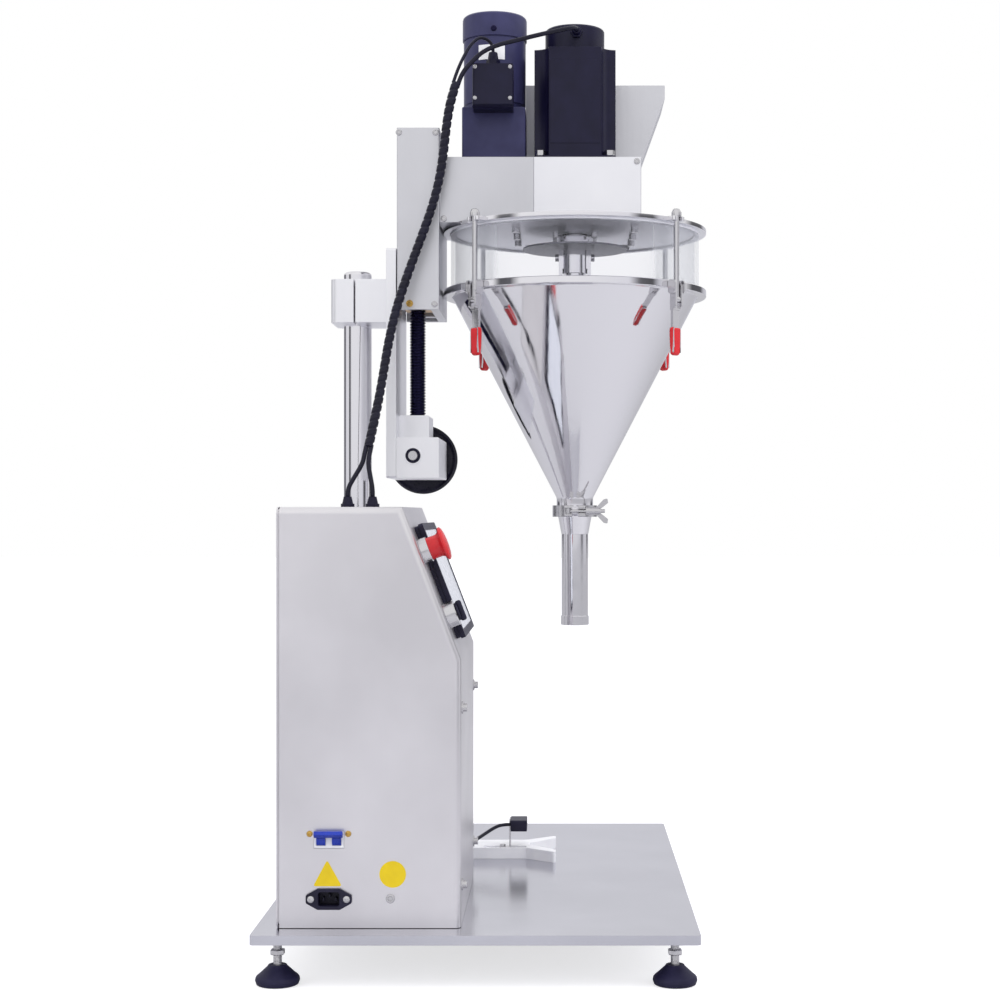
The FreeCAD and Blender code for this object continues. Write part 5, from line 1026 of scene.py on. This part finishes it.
def breaker_case():
    """The breaker's white case, recessed for its two drums."""
    case = block("breaker_case", (BREAKER_FACE_X, BREAKER_Y - 16.8, BREAKER_Z - 9.5),
                 (-300, BREAKER_Y + 16.8, BREAKER_Z + 9.0), 0.6, ABS_WHITE, "frame")
    for side in (-1, 1):
        place = (TOGGLE_X * MM, (BREAKER_Y + side * DRUM_REACH) * MM, BREAKER_Z * MM)
        bpy.ops.object.select_all(action="DESELECT")
        bpy.ops.mesh.primitive_cylinder_add(vertices=48, radius=7.8 * MM, depth=10.6 * MM, location=place,
                                            rotation=(math.radians(90), 0, 0))
        cut(case, bpy.context.object)
    flattened_shading(case, 32.0)
    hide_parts("breaker_body")


def breaker_drums():
    """The two blue drums and the bar that links their levers, tipped up to the on position."""
    parts = []
    for side in (-1, 1):
        drum = turned_mesh([(0, -5), (7.2, -5), (7.5, -4.7), (7.5, 4.7), (7.2, 5), (0, 5)], 48)
        drum.rotation_euler = (math.radians(90), 0, 0)
        drum.location = (0, side * DRUM_REACH * MM, 0)
        parts.append(drum)
    for low, high in (((-13, -13.4, -2.2), (-6, -4.2, 1.4)), ((-13, 4.2, -2.2), (-6, 13.4, 1.4)),
                      ((-15, -16.3, -3.6), (-8.4, 16.3, 1.7))):
        parts.append(rounded_block(low, high, 0.8))
    bpy.ops.object.select_all(action="DESELECT")
    for part in parts:
        part.select_set(True)
    bpy.context.view_layer.objects.active = parts[0]
    bpy.ops.object.transform_apply(location=True, rotation=True, scale=True)
    bpy.ops.object.join()
    toggle = bpy.context.object
    toggle.rotation_euler = (0, math.radians(TOGGLE_ANGLE), 0)
    toggle.location = (TOGGLE_X * MM, BREAKER_Y * MM, BREAKER_Z * MM)
    set_in_place(toggle, "breaker_drums", BLUE_PLASTIC, "breaker")
    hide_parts("breaker_toggle")


breaker_case()
breaker_drums()


# ------------------------------------------------------------------ gear motor and agitator
GEARBOX_TOP = 1077.0
GEARBOX_HALF = 43
motor_case = turned_piece("gear_motor_body", [
    (0, GEARBOX_TOP - 1), (41, GEARBOX_TOP - 1), (41, 1084.6), (42.1, 1085), (42.5, 1085.4), (42.5, 1172.4),
    (42.1, 1172.9), (42.1, 1173.6), (43.6, 1173.9), (44, 1174.3), (44, 1201.8), (43.2, 1204.6),
    (41.2, 1206.4), (38.6, 1206.8), (0, 1206.8)], (AXIS_X, GEAR_Y, 0), UPWARDS, GEAR_PAINT, "head", 96)
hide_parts("gear_motor")
gearbox = block("gear_motor_gearbox", (AXIS_X - GEARBOX_HALF, GEAR_Y - GEARBOX_HALF, 1001),
                (AXIS_X + GEARBOX_HALF, GEAR_Y + GEARBOX_HALF, GEARBOX_TOP), 2.5, GEAR_PAINT, "head")
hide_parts("gear_motor")
MOTOR_FACE_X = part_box("auger_motor")[0][0] / MM
PANEL_HALF = 34
block("auger_motor_panel", (MOTOR_FACE_X - 0.7, AUGER_Y - PANEL_HALF, 1025),
      (MOTOR_FACE_X + 1, AUGER_Y + PANEL_HALF, 1138), 0.6, DARK_PAINT, "head")
turned_piece("agitator_disc", [
    (17, 888), (71.1, 888), (71.5, 888.4), (71.5, 890.1), (71.1, 890.5), (17, 890.5)],
    (AXIS_X, AUGER_Y, 0), UPWARDS, SHEET_DISC, "agitator", 128)
turned_piece("agitator_collar", [(17, 893), (24.6, 893), (25, 893.4), (25, 904.6), (24.6, 905), (17, 905)],
             (AXIS_X, AUGER_Y, 0), UPWARDS, POLISHED, "agitator", 72)


# ------------------------------------------------------------------ light and backdrop
def lamp(name, place, aim, size, power, colour="FFFFFF"):
    """A rectangular softbox that lights what it faces and isn't mirrored in what shines."""
    data = bpy.data.lights.new(name, "AREA")
    data.shape = "RECTANGLE"
    data.size, data.size_y = size
    data.energy = power
    data.color = linear(colour)[:3]
    light = bpy.data.objects.new(name, data)
    light.location = place
    light.rotation_euler = (Vector(aim) - Vector(place)).to_track_quat("-Z", "Y").to_euler()
    light.visible_glossy = False
    bpy.context.scene.collection.objects.link(light)


def studio_world():
    """A white backdrop for the eye, and a room of pale walls with dark gaps for what shines."""
    world = bpy.data.worlds.new("studio")
    bpy.context.scene.world = world
    world.use_nodes = True
    tree = world.node_tree
    tree.nodes.clear()
    direction = add(tree, "TexCoord")
    parts = add(tree, "SeparateXYZ", None, {0: direction.outputs["Generated"]})
    height = add(tree, "MapRange", {"From Min": -1.0, "From Max": 1.0}, {"Value": parts.outputs["Z"]})
    room = colour_ramp(tree, height.outputs["Result"], [
        (0.0, "BFBFC6"), (0.36, "C6C6CC"), (0.46, "E4E4E8"), (0.52, "F4F4F7"), (0.62, "FFFFFF"),
        (1.0, "FFFFFF")])
    around = add(tree, "Math", None, {0: parts.outputs["Y"], 1: parts.outputs["X"]}, operation="ARCTAN2")
    turn = add(tree, "MapRange", {"From Min": -math.pi, "From Max": math.pi}, {"Value": around.outputs[0]})
    walls = colour_ramp(tree, turn.outputs["Result"], [
        (0.0, "FFFFFF"), (0.13, "F4F4F8"), (0.16, "30303A"), (0.195, "22222A"), (0.215, "D6D6DC"),
        (0.30, "FFFFFF"), (0.34, "1E1E26"), (0.395, "2A2A32"), (0.42, "C6C6CC"), (0.5, "DCDCE2"),
        (0.585, "D2D2D8"), (0.615, "30303A"), (0.675, "22222A"), (0.70, "E6E6EA"), (0.79, "FFFFFF"),
        (0.81, "2A2A32"), (0.84, "3A3A44"), (0.865, "FFFFFF"), (1.0, "FFFFFF")])
    steepness = add(tree, "Math", None, {0: parts.outputs["Z"]}, operation="ABSOLUTE")
    near_level = add(tree, "MapRange", {"From Min": 0.15, "From Max": 0.35, "To Min": 0.9, "To Max": 0.1},
                     {"Value": steepness.outputs[0]})
    mirrored = add(tree, "Mix", None, {0: near_level.outputs["Result"], 6: room, 7: walls}, data_type="RGBA",
                   blend_type="MULTIPLY")
    path = add(tree, "LightPath")
    lit = add(tree, "Background", {"Strength": 0.9}, {"Color": room})
    shine = add(tree, "Background", {"Strength": 1.0}, {"Color": mirrored.outputs[2]})
    white = add(tree, "Background", {"Color": (1, 1, 1, 1), "Strength": 1.0})
    seen = add(tree, "Math", None, {0: path.outputs["Is Camera Ray"], 1: path.outputs["Is Transmission Ray"]},
               operation="MAXIMUM")
    glossed = add(tree, "MixShader", None,
                  {0: path.outputs["Is Glossy Ray"], 1: lit.outputs[0], 2: shine.outputs[0]})
    mixed = add(tree, "MixShader", None, {0: seen.outputs[0], 1: glossed.outputs[0], 2: white.outputs[0]})
    add(tree, "OutputWorld", None, {"Surface": mixed.outputs[0]})


def colour_ramp(tree, source, stops):
    """A ramp through sRGB hex colours; returns its colour."""
    ramp = add(tree, "ValToRGB", None, {0: source})
    ramp.color_ramp.elements.remove(ramp.color_ramp.elements[0])
    for i, (at, colour) in enumerate(stops):
        stop = ramp.color_ramp.elements[0] if i == 0 else ramp.color_ramp.elements.new(at)
        stop.position = at
        stop.color = linear(colour)
    return ramp.outputs["Color"]


def pale_floor():
    """A wide matt floor: white to the eye, grey where the object's shadow falls."""
    bpy.ops.mesh.primitive_plane_add(size=1, location=(0, 0, -0.0005))
    floor = bpy.context.object
    floor.name = "floor"
    floor.scale = (40, 40, 1)
    material, tree, shader = surface("matt_white_floor", "CBCBD0", 0.0, 0.9)
    path = add(tree, "LightPath")
    glow = add(tree, "Emission", {"Color": (1, 1, 1, 1), "Strength": 0.66})
    none = add(tree, "Emission", {"Strength": 0.0})
    seen = add(tree, "MixShader", None,
               {0: path.outputs["Is Camera Ray"], 1: none.outputs[0], 2: glow.outputs[0]})
    both = add(tree, "AddShader", None, {0: shader.outputs[0], 1: seen.outputs[0]})
    tree.links.new(both.outputs[0], tree.nodes["Material Output"].inputs["Surface"])
    floor.data.materials.append(material)


bpy.context.scene.view_settings.view_transform = "Standard"
studio_world()
pale_floor()
lamp("overhead_softbox", (-0.6, -0.6, 3.2), (0, 0, 0.6), (2.6, 2.6), 45)
lamp("front_softbox", (-1.2, -3.0, 1.6), (0, 0, 0.6), (1.6, 2.4), 24)
lamp("rear_softbox", (-1.6, 2.6, 1.9), (0, 0, 0.7), (1.2, 2.4), 18)
